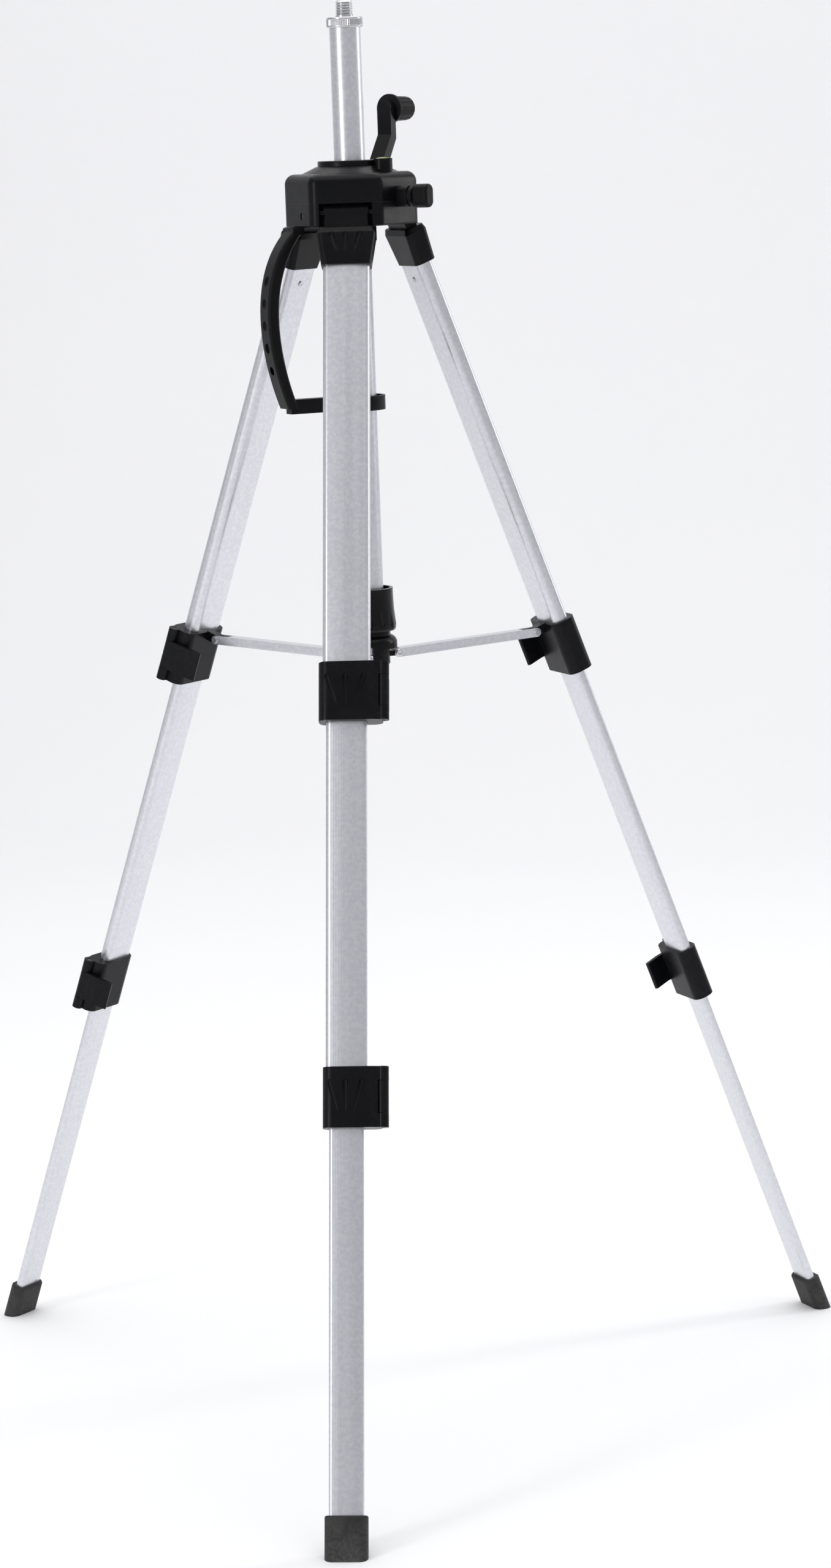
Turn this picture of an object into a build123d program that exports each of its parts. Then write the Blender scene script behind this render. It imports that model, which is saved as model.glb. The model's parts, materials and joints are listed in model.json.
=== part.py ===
from build123d import *
from math import cos, pi, radians, sin, tan
import os

# Tripod with a geared centre column, three telescoping legs with flip locks and a sliding spreader.
# Millimetres, +Z up, floor at z = 0, +X along the front leg's fold axis.  Everything is drawn about
# the column axis and moved back by AXIS_Y as it is saved, so that the origin is the centre of the
# footprint.

os.makedirs("parts", exist_ok=True)

# Driving dimensions
AXIS_Y = 111.722
SPLAY = 20.905
LEG_R = 62.4
LEG_Z = 1052.0
PIVOT_UP = 51.0
FIT = 0.05
GAP = 0.35

# Leg sections: width, depth, crown of the outer side, inner corner, outer corner
UPPER_TUBE = (41.6, 17.0, 2.5, 7.0, 5.5)
MIDDLE_TUBE = (35.7, 13.2, 2.0, 5.2, 4.2)
LOWER_TUBE = (29.8, 9.6, 1.4, 3.6, 3.0)
WALL = 1.2
UPPER_LOCK = -389.0
LOWER_LOCK = -742.0
LOCK_HEIGHT = 52.0
OVERLAP = 45.0
FOOT_TOP = -1091.0

# Lock collars: reach to the plain side, to the hinge side, outwards, inwards, hinge pin place
UPPER_COLLAR = (24.0, 31.7, 12.7, 11.7, (32.8, -7.0))
LOWER_COLLAR = (20.2, 30.4, 10.8, 10.0, (31.7, -5.4))
LEVER_HEIGHT = 27.6

# Spreader
HUB_Z = 695.0
ARM_INNER_R = 29.0
ARM_OUTER_R = 172.0
ARM_OUTER_Z = 701.5
ARM_WIDTH = 12.0
ARM_HEIGHT = 8.0

# Housing, column and crank
HEX_FLAT = 53.0
HEX_CORNER = 11.0
SHOULDER = 9.0
LOCK_HOLE_R = 4.1
BODY_BOTTOM = 1086.0
PARTING = 1107.0
BODY_TOP = 1133.0
DISC_TOP = 1144.0
DISC_BOTTOM = 1139.0
DISC_R = 29.0
VIAL_SPOT = (31.5, -17.5)
VIAL_R = 6.6
VIAL_BOTTOM = 1137.0
VIAL_TOP = 1145.0
SCREW_Z = 1096.0
SCREW_SIDE = 9.0
TUBE_R = 16.5
COLUMN_R = 14.0
COLUMN_BOTTOM = 860.0
COLUMN_TOP = 1261.5
RING_TOP = 1270.5
STUD_TOP = 1285.0
STUD_R = 7.9375
MODULE = 1.0
TEETH = 16
BACKLASH = 0.14
RACK_AZ = 150.0
CRANK_AZ = 60.0
CRANK_Z = 1118.0
PITCH_LINE = 12.7
LOCK_AZ = -30.0
LOCK_Z = 1111.0
HANDLE_AZ = 210.0

PIN_R = 2.5
PIN_HALF = 28.5
PIN_RADIUS = LEG_R - PIVOT_UP * sin(radians(SPLAY))
PIN_HEIGHT = LEG_Z + PIVOT_UP * cos(radians(SPLAY))

LEGS = {"front": 0, "right": 120, "left": 240}
leg = Plane(
    origin=(0, -LEG_R, LEG_Z),
    x_dir=(1, 0, 0),
    z_dir=(0, sin(radians(SPLAY)), cos(radians(SPLAY))),
)


def save(solid, name):
    """Label a finished piece and write it behind the centre of the footprint."""
    placed = solid.moved(Location((0, AXIS_Y, 0)))
    placed.label = name
    export_step(placed, f"parts/{name}.step")


def save_for_each_leg(solid, name):
    """Write the front leg's piece and its copies on the right and left legs."""
    for side, turn in LEGS.items():
        save(solid.rotate(Axis.Z, turn), f"{side}_{name}")


def radial_plane(azimuth, radius, height):
    """Plane square to a radius, with its normal outwards and its y axis up."""
    out = Vector(cos(radians(azimuth)), sin(radians(azimuth)), 0)
    across = (-sin(radians(azimuth)), cos(radians(azimuth)), 0)
    return Plane(origin=out * radius + Vector(0, 0, height), x_dir=across, z_dir=tuple(out))


def upright_plane(azimuth):
    """Plane through the column axis: x outwards, y up, normal across."""
    return Plane(
        origin=(0, 0, 0),
        x_dir=(cos(radians(azimuth)), sin(radians(azimuth)), 0),
        z_dir=(sin(radians(azimuth)), -cos(radians(azimuth)), 0),
    )


def leg_point(across, inward, along):
    """A point given in the front leg's own frame."""
    return leg.from_local_coords(Vector(across, inward, along))


def fold_axis(turn):
    """Plane square to a leg's fold axis, centred on its pivot pin."""
    return Plane(
        origin=radial_plane(turn - 90, PIN_RADIUS, PIN_HEIGHT).origin,
        z_dir=(cos(radians(turn)), sin(radians(turn)), 0),
    )


def tube_outline(section, grow=0.0):
    """Leg tube outline with a flat inner side and a crowned outer side, offset by grow."""
    width, depth, crown, inner_corner, outer_corner = section
    half = width / 2 + grow
    inner = depth / 2 + grow
    edge = crown - depth / 2 - grow
    with BuildSketch() as outline:
        with BuildLine():
            Polyline((-half, edge), (-half, inner), (half, inner), (half, edge))
            ThreePointArc((half, edge), (0, -depth / 2 - grow), (-half, edge))
        make_face()
        fillet(outline.vertices().group_by(Axis.Y)[-1], inner_corner + grow)
        fillet(outline.vertices().group_by(Axis.Y)[0], outer_corner + grow)
    return outline.sketch


def collar_outline(collar, corner=9.0, grow=0.0):
    """Lock collar outline: plain side, hinge side, outwards and inwards reach."""
    left, right, outer, inner = collar[:4]
    with BuildSketch() as outline:
        with Locations(((right - left) / 2, (inner - outer) / 2)):
            RectangleRounded(left + right + 2 * grow, outer + inner + 2 * grow, corner + grow)
    return outline.sketch


def fan_groove(top_x, bottom_x, top_z, length, face_y, radius=2.7, sunk=1.3):
    """Cutter for one tapered groove with a round top, on a leg's outer face."""
    top = leg_point(top_x, face_y - radius + sunk, top_z)
    foot = leg_point(bottom_x, face_y - radius + sunk, top_z - length)
    with BuildPart(mode=Mode.PRIVATE) as cutter:
        with BuildSketch(Plane(origin=top, z_dir=foot - top)):
            Circle(radius)
        with BuildSketch(Plane(origin=foot, z_dir=foot - top)):
            Circle(radius * 0.35)
        loft()
        with Locations(Location(top)):
            Sphere(radius)
    return cutter.part


def fan_grooves(top_z, length, face_y, spread, sunk=1.3):
    """The three grooves that fan out on a bracket or a lock collar."""
    return [
        fan_groove(side * spread, side * spread * 0.42, top_z, length, face_y, sunk=sunk)
        for side in (-1, 0, 1)
    ]


# ---------------------------------------------------------------- leg brackets and tubes

NECK_WIDTH = 40.0
NECK_DEPTH = 11.0
BARREL_R = 6.2
PLUG_LENGTH = 12.0
APRON_TOP = 33.0
APRON_BOTTOM = -1.5
APRON_EDGE = 5.0
APRON_FACE = -11.0
SOCKET_TOP = 20.0
APRON_LOWER = (44.4, 20.6, 6.0)
APRON_UPPER = (53.0, 21.6, 6.0)
barrel = Plane(origin=leg_point(-NECK_WIDTH / 2, 0, PIVOT_UP), z_dir=(1, 0, 0))
with BuildPart() as bracket:
    with BuildSketch(leg.offset(APRON_BOTTOM)):
        with Locations((0, -0.5)):
            RectangleRounded(*APRON_LOWER)
    with BuildSketch(leg.offset(APRON_TOP - APRON_EDGE)):
        with Locations((0, -0.5)):
            RectangleRounded(*APRON_UPPER)
    loft()
    with BuildSketch(leg.offset(APRON_TOP - APRON_EDGE)):
        with Locations((0, -0.5)):
            RectangleRounded(*APRON_UPPER)
    extrude(amount=APRON_EDGE, taper=20)
    with BuildSketch(leg.offset(APRON_TOP - 2)):
        RectangleRounded(NECK_WIDTH, NECK_DEPTH, 2)
    extrude(amount=PIVOT_UP - APRON_TOP + 2)
    with BuildSketch(barrel):
        Circle(BARREL_R)
    extrude(amount=NECK_WIDTH)
    with BuildSketch(barrel):
        Circle(PIN_R + FIT)
    extrude(amount=NECK_WIDTH, mode=Mode.SUBTRACT)
    with BuildSketch(leg.offset(APRON_BOTTOM)):
        add(tube_outline(UPPER_TUBE, 0.02))
    extrude(amount=SOCKET_TOP - APRON_BOTTOM, mode=Mode.SUBTRACT)
    for groove in fan_grooves(APRON_TOP - 7, 22.0, APRON_FACE, 12.5):
        add(groove, mode=Mode.SUBTRACT)
save_for_each_leg(bracket.part, "leg_bracket")

UPPER_BOTTOM = UPPER_LOCK - 3.0
with BuildPart() as upper_tube:
    with BuildSketch(leg.offset(UPPER_BOTTOM)):
        add(tube_outline(UPPER_TUBE))
        add(tube_outline(UPPER_TUBE, -WALL), mode=Mode.SUBTRACT)
    extrude(amount=SOCKET_TOP - 0.5 - UPPER_BOTTOM)
save_for_each_leg(upper_tube.part, "upper_tube")

MIDDLE_BOTTOM = LOWER_LOCK - 3.0
MIDDLE_TOP = UPPER_LOCK + OVERLAP
with BuildPart() as middle_tube:
    with BuildSketch(leg.offset(MIDDLE_BOTTOM)):
        add(tube_outline(MIDDLE_TUBE))
        add(tube_outline(MIDDLE_TUBE, -WALL), mode=Mode.SUBTRACT)
    extrude(amount=MIDDLE_TOP - MIDDLE_BOTTOM)
    with BuildSketch(leg.offset(MIDDLE_TOP - PLUG_LENGTH)):
        add(tube_outline(UPPER_TUBE, -WALL - GAP))
        add(tube_outline(MIDDLE_TUBE, -WALL / 2), mode=Mode.SUBTRACT)
    extrude(amount=PLUG_LENGTH)
save_for_each_leg(middle_tube.part, "middle_tube")

FOOT_SOCKET = 25.0
LOWER_BOTTOM = FOOT_TOP - FOOT_SOCKET
LOWER_TOP = LOWER_LOCK + OVERLAP
with BuildPart() as lower_tube:
    with BuildSketch(leg.offset(LOWER_BOTTOM)):
        add(tube_outline(LOWER_TUBE))
        add(tube_outline(LOWER_TUBE, -WALL), mode=Mode.SUBTRACT)
    extrude(amount=LOWER_TOP - LOWER_BOTTOM)
    with BuildSketch(leg.offset(LOWER_TOP - PLUG_LENGTH)):
        add(tube_outline(MIDDLE_TUBE, -WALL - GAP))
        add(tube_outline(LOWER_TUBE, -WALL / 2), mode=Mode.SUBTRACT)
    extrude(amount=PLUG_LENGTH)
save_for_each_leg(lower_tube.part, "lower_tube")

BELOW_FLOOR = -1150.0
with BuildPart() as foot:
    with BuildSketch(leg.offset(BELOW_FLOOR)):
        RectangleRounded(36.6, 16.8, 7)
    extrude(amount=FOOT_TOP - BELOW_FLOOR)
    fillet(foot.edges().group_by(Axis.Z)[-1], 2)
    with BuildSketch(leg.offset(LOWER_BOTTOM)):
        add(tube_outline(LOWER_TUBE, 0.02))
    extrude(amount=60, mode=Mode.SUBTRACT)
    split(bisect_by=Plane.XY, keep=Keep.TOP)
save_for_each_leg(foot.part, "foot")


# ---------------------------------------------------------------- flip locks

def lock_collar(collar, centre, held, sliding, lug=False):
    """Collar that holds one tube's end and guides the next one, with a notch for its lever."""
    half = LOCK_HEIGHT / 2
    pin_x, pin_y = collar[4]
    outer = collar[2]
    with BuildPart() as body:
        with BuildSketch(leg.offset(centre - half)):
            add(collar_outline(collar))
        extrude(amount=LOCK_HEIGHT)
        with BuildSketch(leg.offset(centre - half)):
            with Locations((pin_x, pin_y)):
                Circle(5)
            with Locations((pin_x - 4, pin_y)):
                Rectangle(8, 9)
        extrude(amount=LOCK_HEIGHT)
        if lug:
            rivet = leg.to_local_coords(Vector(0, -ARM_OUTER_R, ARM_OUTER_Z))
            tongue = Plane(
                origin=leg_point(-4.5, 0, 0),
                x_dir=leg.y_dir,
                z_dir=(1, 0, 0),
            )
            with BuildSketch(tongue):
                with Locations((rivet.Y, rivet.Z)):
                    Circle(4.2)
                with Locations(((rivet.Y + collar[3]) / 2 - 0.5, rivet.Z)):
                    Rectangle(rivet.Y - collar[3] + 1, 8.4)
            extrude(amount=9)
            with BuildSketch(tongue):
                with Locations((rivet.Y, rivet.Z)):
                    Circle(1.75)
            extrude(amount=9, mode=Mode.SUBTRACT)
        with BuildSketch(leg.offset(centre - 3)):
            add(tube_outline(held, 0.02))
        extrude(amount=half + 3, mode=Mode.SUBTRACT)
        with BuildSketch(leg.offset(centre - half)):
            add(tube_outline(sliding, GAP))
        extrude(amount=half, mode=Mode.SUBTRACT)
        with BuildSketch(leg.offset(centre - LEVER_HEIGHT / 2 - 0.4)):
            with Locations((pin_x, pin_y)):
                Circle(5.9)
        extrude(amount=LEVER_HEIGHT + 0.8, mode=Mode.SUBTRACT)
        with BuildSketch(leg.offset(centre - half)):
            with Locations((pin_x, pin_y)):
                Circle(1.51)
        extrude(amount=LOCK_HEIGHT, mode=Mode.SUBTRACT)
        for groove in fan_grooves(centre + 13, 28.0, -outer, outer + 3.4, sunk=1.7):
            add(groove, mode=Mode.SUBTRACT)
    return body.part


def lock_lever(collar, centre):
    """Flip lever: a barrel on the hinge pin, a plate along the collar's side and a finger tab."""
    pin_x, pin_y = collar[4]
    inner = collar[3]
    tip = inner + 15.0
    with BuildPart() as body:
        with BuildSketch(leg.offset(centre - LEVER_HEIGHT / 2)):
            with Locations((pin_x, pin_y)):
                Circle(4.9)
            with BuildLine():
                Polyline(
                    (pin_x - 0.6, pin_y),
                    (pin_x - 0.6, inner),
                    (pin_x - 4.5, tip),
                    (pin_x - 0.8, tip + 1.5),
                    (pin_x + 3.2, inner + 2),
                    (pin_x + 4.6, pin_y),
                    close=True,
                )
            make_face()
        extrude(amount=LEVER_HEIGHT)
        tip_edges = body.edges().filter_by(Axis((0, 0, 0), leg.z_dir)).sort_by(Axis.Y)[-2:]
        fillet(tip_edges, 1.2)
        with BuildSketch(leg.offset(centre - LEVER_HEIGHT / 2)):
            with Locations((pin_x, pin_y)):
                Circle(1.56)
        extrude(amount=LEVER_HEIGHT, mode=Mode.SUBTRACT)
    return body.part


def lock_pin(collar, centre):
    """Hinge pin through a lock's knuckles."""
    with BuildPart() as body:
        with BuildSketch(leg.offset(centre - LOCK_HEIGHT / 2 + 0.5)):
            with Locations(collar[4]):
                Circle(1.5)
        extrude(amount=LOCK_HEIGHT - 1)
    return body.part


save_for_each_leg(lock_collar(UPPER_COLLAR, UPPER_LOCK, UPPER_TUBE, MIDDLE_TUBE, True), "upper_lock_collar")
save_for_each_leg(lock_lever(UPPER_COLLAR, UPPER_LOCK), "upper_lock_lever")
save_for_each_leg(lock_collar(LOWER_COLLAR, LOWER_LOCK, MIDDLE_TUBE, LOWER_TUBE), "lower_lock_collar")
save_for_each_leg(lock_lever(LOWER_COLLAR, LOWER_LOCK), "lower_lock_lever")
save_for_each_leg(lock_pin(LOWER_COLLAR, LOWER_LOCK), "lower_lock_pin")

RIVET_R = 1.7
with BuildPart() as leg_pins:
    add(lock_pin(UPPER_COLLAR, UPPER_LOCK))
    with BuildSketch(Plane(origin=(-ARM_WIDTH / 2 - 0.9, -ARM_OUTER_R, ARM_OUTER_Z), z_dir=(1, 0, 0))):
        Circle(RIVET_R)
    extrude(amount=ARM_WIDTH + 1.8)
    for side in (-1, 1):
        head = Plane(origin=(side * (ARM_WIDTH / 2 + 0.1), -ARM_OUTER_R, ARM_OUTER_Z), z_dir=(side, 0, 0))
        with BuildSketch(head):
            Circle(3.4)
        extrude(amount=1.3, taper=35)
save_for_each_leg(leg_pins.part, "leg_pins")

# ---------------------------------------------------------------- spreader

arm_slope = Vector(0, ARM_INNER_R - ARM_OUTER_R, ARM_OUTER_Z - HUB_Z)
arm_line = Plane(
    origin=(0, -ARM_OUTER_R, ARM_OUTER_Z),
    x_dir=(0, ARM_OUTER_R - ARM_INNER_R, HUB_Z - ARM_OUTER_Z),
    z_dir=(1, 0, 0),
)
ARM_LENGTH = arm_slope.length
with BuildPart() as spreader_arm:
    with BuildSketch(arm_line.offset(-ARM_WIDTH / 2)):
        with Locations((ARM_LENGTH / 2, 0)):
            SlotCenterToCenter(ARM_LENGTH, ARM_HEIGHT)
    extrude(amount=ARM_WIDTH)
    with BuildSketch(arm_line.offset(-ARM_WIDTH / 2 + WALL)):
        with Locations((ARM_LENGTH / 2, -WALL)):
            Rectangle(ARM_LENGTH + 12, ARM_HEIGHT)
        with Locations((0, 0)):
            Rectangle(28, ARM_HEIGHT + 2)
        with Locations((ARM_LENGTH + 3, 0)):
            Rectangle(10, ARM_HEIGHT + 2)
    extrude(amount=ARM_WIDTH - 2 * WALL, mode=Mode.SUBTRACT)
    with BuildSketch(arm_line.offset(-ARM_WIDTH / 2)):
        Circle(RIVET_R + FIT)
        with Locations((ARM_LENGTH, 0)):
            Circle(RIVET_R + FIT)
    extrude(amount=ARM_WIDTH, mode=Mode.SUBTRACT)
    for side in (-1, 1):
        with BuildSketch(Plane(origin=(side * 4.85, -ARM_INNER_R, HUB_Z), z_dir=(side, 0, 0))):
            Circle(RIVET_R)
        extrude(amount=1.25)
        with BuildSketch(Plane(origin=(side * 6.05, -ARM_INNER_R, HUB_Z), z_dir=(side, 0, 0))):
            Circle(3.5)
        extrude(amount=1.3, taper=35)
save_for_each_leg(spreader_arm.part, "spreader_arm")

HUB_BORE = TUBE_R + 0.3
FLANGE_BOTTOM = 702.0
SLOT_TOP = 704.9
TONGUE_R = 2.5
with BuildPart() as spreader_hub:
    with BuildSketch(Plane.XZ):
        with BuildLine():
            Polyline(
                (HUB_BORE, 687),
                (20.5, 687),
                (20.5, FLANGE_BOTTOM),
                (27.5, FLANGE_BOTTOM),
                (27.5, FLANGE_BOTTOM + 5),
            )
            ThreePointArc((27.5, FLANGE_BOTTOM + 5), (25.7, 711), (21.5, 713.5))
            Polyline((21.5, 713.5), (21.5, 717.5), (19.4, 717.5), (19.4, 748), (HUB_BORE, 748))
            Line((HUB_BORE, 748), (HUB_BORE, 687))
        make_face()
    revolve(axis=Axis.Z)
    for turn in LEGS.values():
        out = radial_plane(turn - 90, 15, HUB_Z)
        with BuildSketch(out):
            for side in (-1, 1):
                with Locations((side * 6.05, (SLOT_TOP + 680) / 2 - HUB_Z)):
                    Rectangle(3.2, SLOT_TOP - 680)
        extrude(amount=20, mode=Mode.SUBTRACT)
        with BuildSketch(radial_plane(turn - 90, 20.5, HUB_Z)):
            with Locations((0, (SLOT_TOP + 685) / 2 - HUB_Z)):
                Rectangle(15.3, SLOT_TOP - 685)
        extrude(amount=15, mode=Mode.SUBTRACT)
        tongue = Plane(
            origin=radial_plane(turn - 90, 0, HUB_Z).origin,
            x_dir=(sin(radians(turn)), -cos(radians(turn)), 0),
            z_dir=(cos(radians(turn)), sin(radians(turn)), 0),
        )
        with BuildSketch(tongue.offset(-4.4)):
            with Locations((ARM_INNER_R, 0)):
                Circle(TONGUE_R)
            with Locations(((19 + ARM_INNER_R) / 2, 0)):
                Rectangle(ARM_INNER_R - 19, 2 * TONGUE_R)
        extrude(amount=8.8)
save(spreader_hub.part, "spreader_hub")

with BuildPart() as twist_collar:
    with BuildSketch(Plane.XZ):
        with BuildLine():
            Polyline((22.0, 718.2), (26.2, 718.2), (27.0, 720.0), (27.0, 724.0))
            ThreePointArc((27.0, 724.0), (25.7, 738.0), (25.2, 757.0))
            Polyline(
                (25.2, 757.0), (22.6, 757.0), (22.6, 734.0),
                (19.8, 731.0), (19.8, 721.0), (22.0, 718.2),
            )
        make_face()
    revolve(axis=Axis.Z)
    for groove in range(14):
        angle = radians(360 / 14 * groove)
        lower = Vector(27.4 * cos(angle), 27.4 * sin(angle), 724)
        upper = Vector(27.3 * cos(angle), 27.3 * sin(angle), 738)
        with BuildSketch(Plane(origin=lower, z_dir=upper - lower)):
            Circle(2.7)
        with BuildSketch(Plane(origin=upper, z_dir=upper - lower)):
            Circle(1.3)
        loft(mode=Mode.SUBTRACT)
        with Locations(lower):
            Sphere(2.7, mode=Mode.SUBTRACT)
save(twist_collar.part, "twist_collar")

# ---------------------------------------------------------------- housing

POCKET_WIDTH = 47.8


def housing_hexagon(flat):
    """Rounded hexagon that stands with one side towards each leg."""
    with BuildSketch() as outline:
        RegularPolygon(flat, 6, major_radius=False)
        fillet(outline.vertices(), HEX_CORNER + flat - HEX_FLAT)
    return outline.sketch


with BuildPart() as housing_lower:
    with BuildSketch(Plane.XY.offset(BODY_BOTTOM)):
        add(housing_hexagon(HEX_FLAT))
    extrude(amount=PARTING - BODY_BOTTOM)
    fillet(housing_lower.edges().group_by(Axis.Z)[0], 1.6)
    with BuildSketch(Plane.XY.offset(BODY_BOTTOM)):
        Circle(22)
    extrude(amount=-14)
    with BuildSketch(Plane.XY.offset(BODY_BOTTOM - 14)):
        Circle(TUBE_R + 0.02)
    extrude(amount=60, mode=Mode.SUBTRACT)
    for turn in LEGS.values():
        pocket = radial_plane(turn - 90, 33.5, 0)
        with BuildSketch(pocket):
            with Locations((0, (BODY_BOTTOM + PARTING) / 2)):
                Rectangle(POCKET_WIDTH, PARTING - BODY_BOTTOM + 30)
        extrude(amount=30, mode=Mode.SUBTRACT)
        with BuildSketch(fold_axis(turn)):
            Circle(PIN_R)
        extrude(amount=PIN_HALF + 0.5, both=True, mode=Mode.SUBTRACT)
    with BuildSketch(radial_plane(LOCK_AZ, 14, LOCK_Z)):
        Circle(LOCK_HOLE_R)
    extrude(amount=60, mode=Mode.SUBTRACT)
    for azimuth in (90, 210):
        with BuildSketch(radial_plane(azimuth, HEX_FLAT, SCREW_Z)):
            with Locations((SCREW_SIDE, 0)):
                Circle(3.2)
        extrude(amount=-3, mode=Mode.SUBTRACT)
save(housing_lower.part, "housing_lower")

crank_start = radial_plane(RACK_AZ, PITCH_LINE + MODULE * TEETH / 2, CRANK_Z).origin
crank_dir = Vector(cos(radians(CRANK_AZ)), sin(radians(CRANK_AZ)), 0)


def crank_plane(along):
    """Plane square to the crank shaft: x towards the column, y down, normal outwards."""
    return Plane(
        origin=crank_start + crank_dir * along,
        x_dir=(-cos(radians(RACK_AZ)), -sin(radians(RACK_AZ)), 0),
        z_dir=tuple(crank_dir),
    )


SHAFT_R = 4.0
CRANK_REACH = 71.0
BOSS_INNER = 46.0
BOSS_END = 67.0
with BuildPart() as housing_upper:
    with BuildSketch(Plane.XY.offset(PARTING)):
        add(housing_hexagon(HEX_FLAT))
    extrude(amount=BODY_TOP - PARTING)
    fillet(housing_upper.edges().group_by(Axis.Z)[-1], SHOULDER)
    with BuildSketch(Plane.XY.offset(PARTING)):
        add(housing_hexagon(HEX_FLAT - 3))
    extrude(amount=BODY_TOP - PARTING - SHOULDER, mode=Mode.SUBTRACT)
    with BuildSketch(Plane.XY.offset(BODY_TOP - 0.2)):
        Circle(HEX_FLAT - SHOULDER)
    with BuildSketch(Plane.XY.offset(DISC_BOTTOM)):
        Circle(DISC_R + 1.5)
    loft()
    with BuildSketch(crank_plane(30)):
        Circle(8)
    extrude(amount=26)
    with BuildSketch(crank_plane(-13)):
        Circle(7)
        with Locations((0, -7)):
            Rectangle(14, 14)
    extrude(amount=8)
    with BuildSketch(radial_plane(LOCK_AZ, BOSS_INNER, LOCK_Z)):
        RectangleRounded(19, 18.5, 6)
    extrude(amount=HEX_FLAT + 0.1 - BOSS_INNER)
    with BuildSketch(Plane.XY.offset(BODY_BOTTOM)):
        add(housing_hexagon(HEX_FLAT + 10))
    extrude(amount=PARTING - BODY_BOTTOM, mode=Mode.SUBTRACT)
    with BuildSketch(radial_plane(LOCK_AZ, HEX_FLAT + 0.1, LOCK_Z)):
        RectangleRounded(19, 18.5, 6)
    extrude(amount=BOSS_END - HEX_FLAT - 0.1)
    with BuildSketch(Plane.XY.offset(PARTING)):
        Circle(20)
    extrude(amount=BODY_TOP - PARTING - 6, mode=Mode.SUBTRACT)
    with BuildSketch(Plane.XY.offset(PARTING)):
        Circle(17.6)
    extrude(amount=50, mode=Mode.SUBTRACT)
    with BuildSketch(crank_plane(-20)):
        Circle(SHAFT_R + FIT)
    extrude(amount=90, mode=Mode.SUBTRACT)
    with BuildSketch(crank_plane(-4.5)):
        Circle(10.5)
    extrude(amount=9, mode=Mode.SUBTRACT)
    with BuildSketch(radial_plane(LOCK_AZ, 14, LOCK_Z)):
        Circle(LOCK_HOLE_R)
    extrude(amount=60, mode=Mode.SUBTRACT)
    with BuildSketch(Plane.XY.offset(VIAL_BOTTOM - 11)):
        with Locations(VIAL_SPOT):
            Circle(VIAL_R + 2)
    extrude(amount=VIAL_TOP - VIAL_BOTTOM + 11)
    with BuildSketch(Plane.XY.offset(VIAL_BOTTOM)):
        with Locations(VIAL_SPOT):
            Circle(VIAL_R)
    extrude(amount=20, mode=Mode.SUBTRACT)
save(housing_upper.part, "housing_upper")

with BuildPart() as level_vial:
    with BuildSketch(Plane.XY.offset(VIAL_BOTTOM)):
        with Locations(VIAL_SPOT):
            Circle(VIAL_R - 0.02)
    extrude(amount=VIAL_TOP - VIAL_BOTTOM)
    fillet(level_vial.edges().group_by(Axis.Z)[-1], 1.5)
save(level_vial.part, "level_vial")

with BuildPart() as top_disc:
    with BuildSketch(Plane.XY.offset(DISC_BOTTOM)):
        Circle(DISC_R)
    extrude(amount=DISC_TOP - DISC_BOTTOM)
    fillet(top_disc.edges().group_by(Axis.Z)[-1], 1.2)
    with BuildSketch(Plane.XY.offset(DISC_BOTTOM)):
        Circle(COLUMN_R + 0.4)
        with Locations(VIAL_SPOT):
            Circle(VIAL_R + 2.1)
    extrude(amount=DISC_TOP - DISC_BOTTOM, mode=Mode.SUBTRACT)
save(top_disc.part, "top_disc")

TUBE_BOTTOM = 690.0
TUBE_TOP = PARTING - 3
with BuildPart() as centre_tube:
    with BuildSketch(Plane.XY.offset(TUBE_BOTTOM)):
        Circle(TUBE_R)
        Circle(TUBE_R - 1.5, mode=Mode.SUBTRACT)
    extrude(amount=TUBE_TOP - TUBE_BOTTOM)
save(centre_tube.part, "centre_tube")

SLEEVE_BOTTOM = 1040.0
with BuildPart() as guide_sleeve:
    with BuildSketch(Plane.XY.offset(SLEEVE_BOTTOM)):
        Circle(TUBE_R - 1.52)
    extrude(amount=TUBE_TOP - SLEEVE_BOTTOM)
    with BuildSketch(Plane.XY.offset(TUBE_TOP)):
        Circle(TUBE_R)
    extrude(amount=DISC_BOTTOM - TUBE_TOP)
    with BuildSketch(Plane.XY.offset(SLEEVE_BOTTOM)):
        Circle(COLUMN_R + FIT)
    extrude(amount=DISC_BOTTOM - SLEEVE_BOTTOM, mode=Mode.SUBTRACT)
    with BuildSketch(radial_plane(RACK_AZ, 8, CRANK_Z)):
        Rectangle(9, 20.5)
    extrude(amount=12, mode=Mode.SUBTRACT)
    with BuildSketch(radial_plane(LOCK_AZ, 8, LOCK_Z)):
        Circle(4.2)
    extrude(amount=12, mode=Mode.SUBTRACT)
save(guide_sleeve.part, "guide_sleeve")

with BuildPart() as leg_pivot_pins:
    for turn in LEGS.values():
        with BuildSketch(fold_axis(turn)):
            Circle(PIN_R)
        extrude(amount=PIN_HALF, both=True)
save(leg_pivot_pins.part, "leg_pivot_pins")

with BuildPart() as housing_screws:
    for azimuth in (90, 210):
        with BuildSketch(radial_plane(azimuth, HEX_FLAT - 3, SCREW_Z)):
            with Locations((SCREW_SIDE, 0)):
                Circle(3.1)
        extrude(amount=1.8)
        with BuildSketch(radial_plane(azimuth, HEX_FLAT - 2.2, SCREW_Z)):
            with Locations((SCREW_SIDE, 0)):
                Rectangle(3.6, 0.9)
                Rectangle(0.9, 3.6)
        extrude(amount=2, mode=Mode.SUBTRACT)
save(housing_screws.part, "housing_screws")

# ---------------------------------------------------------------- carrying handle

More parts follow.
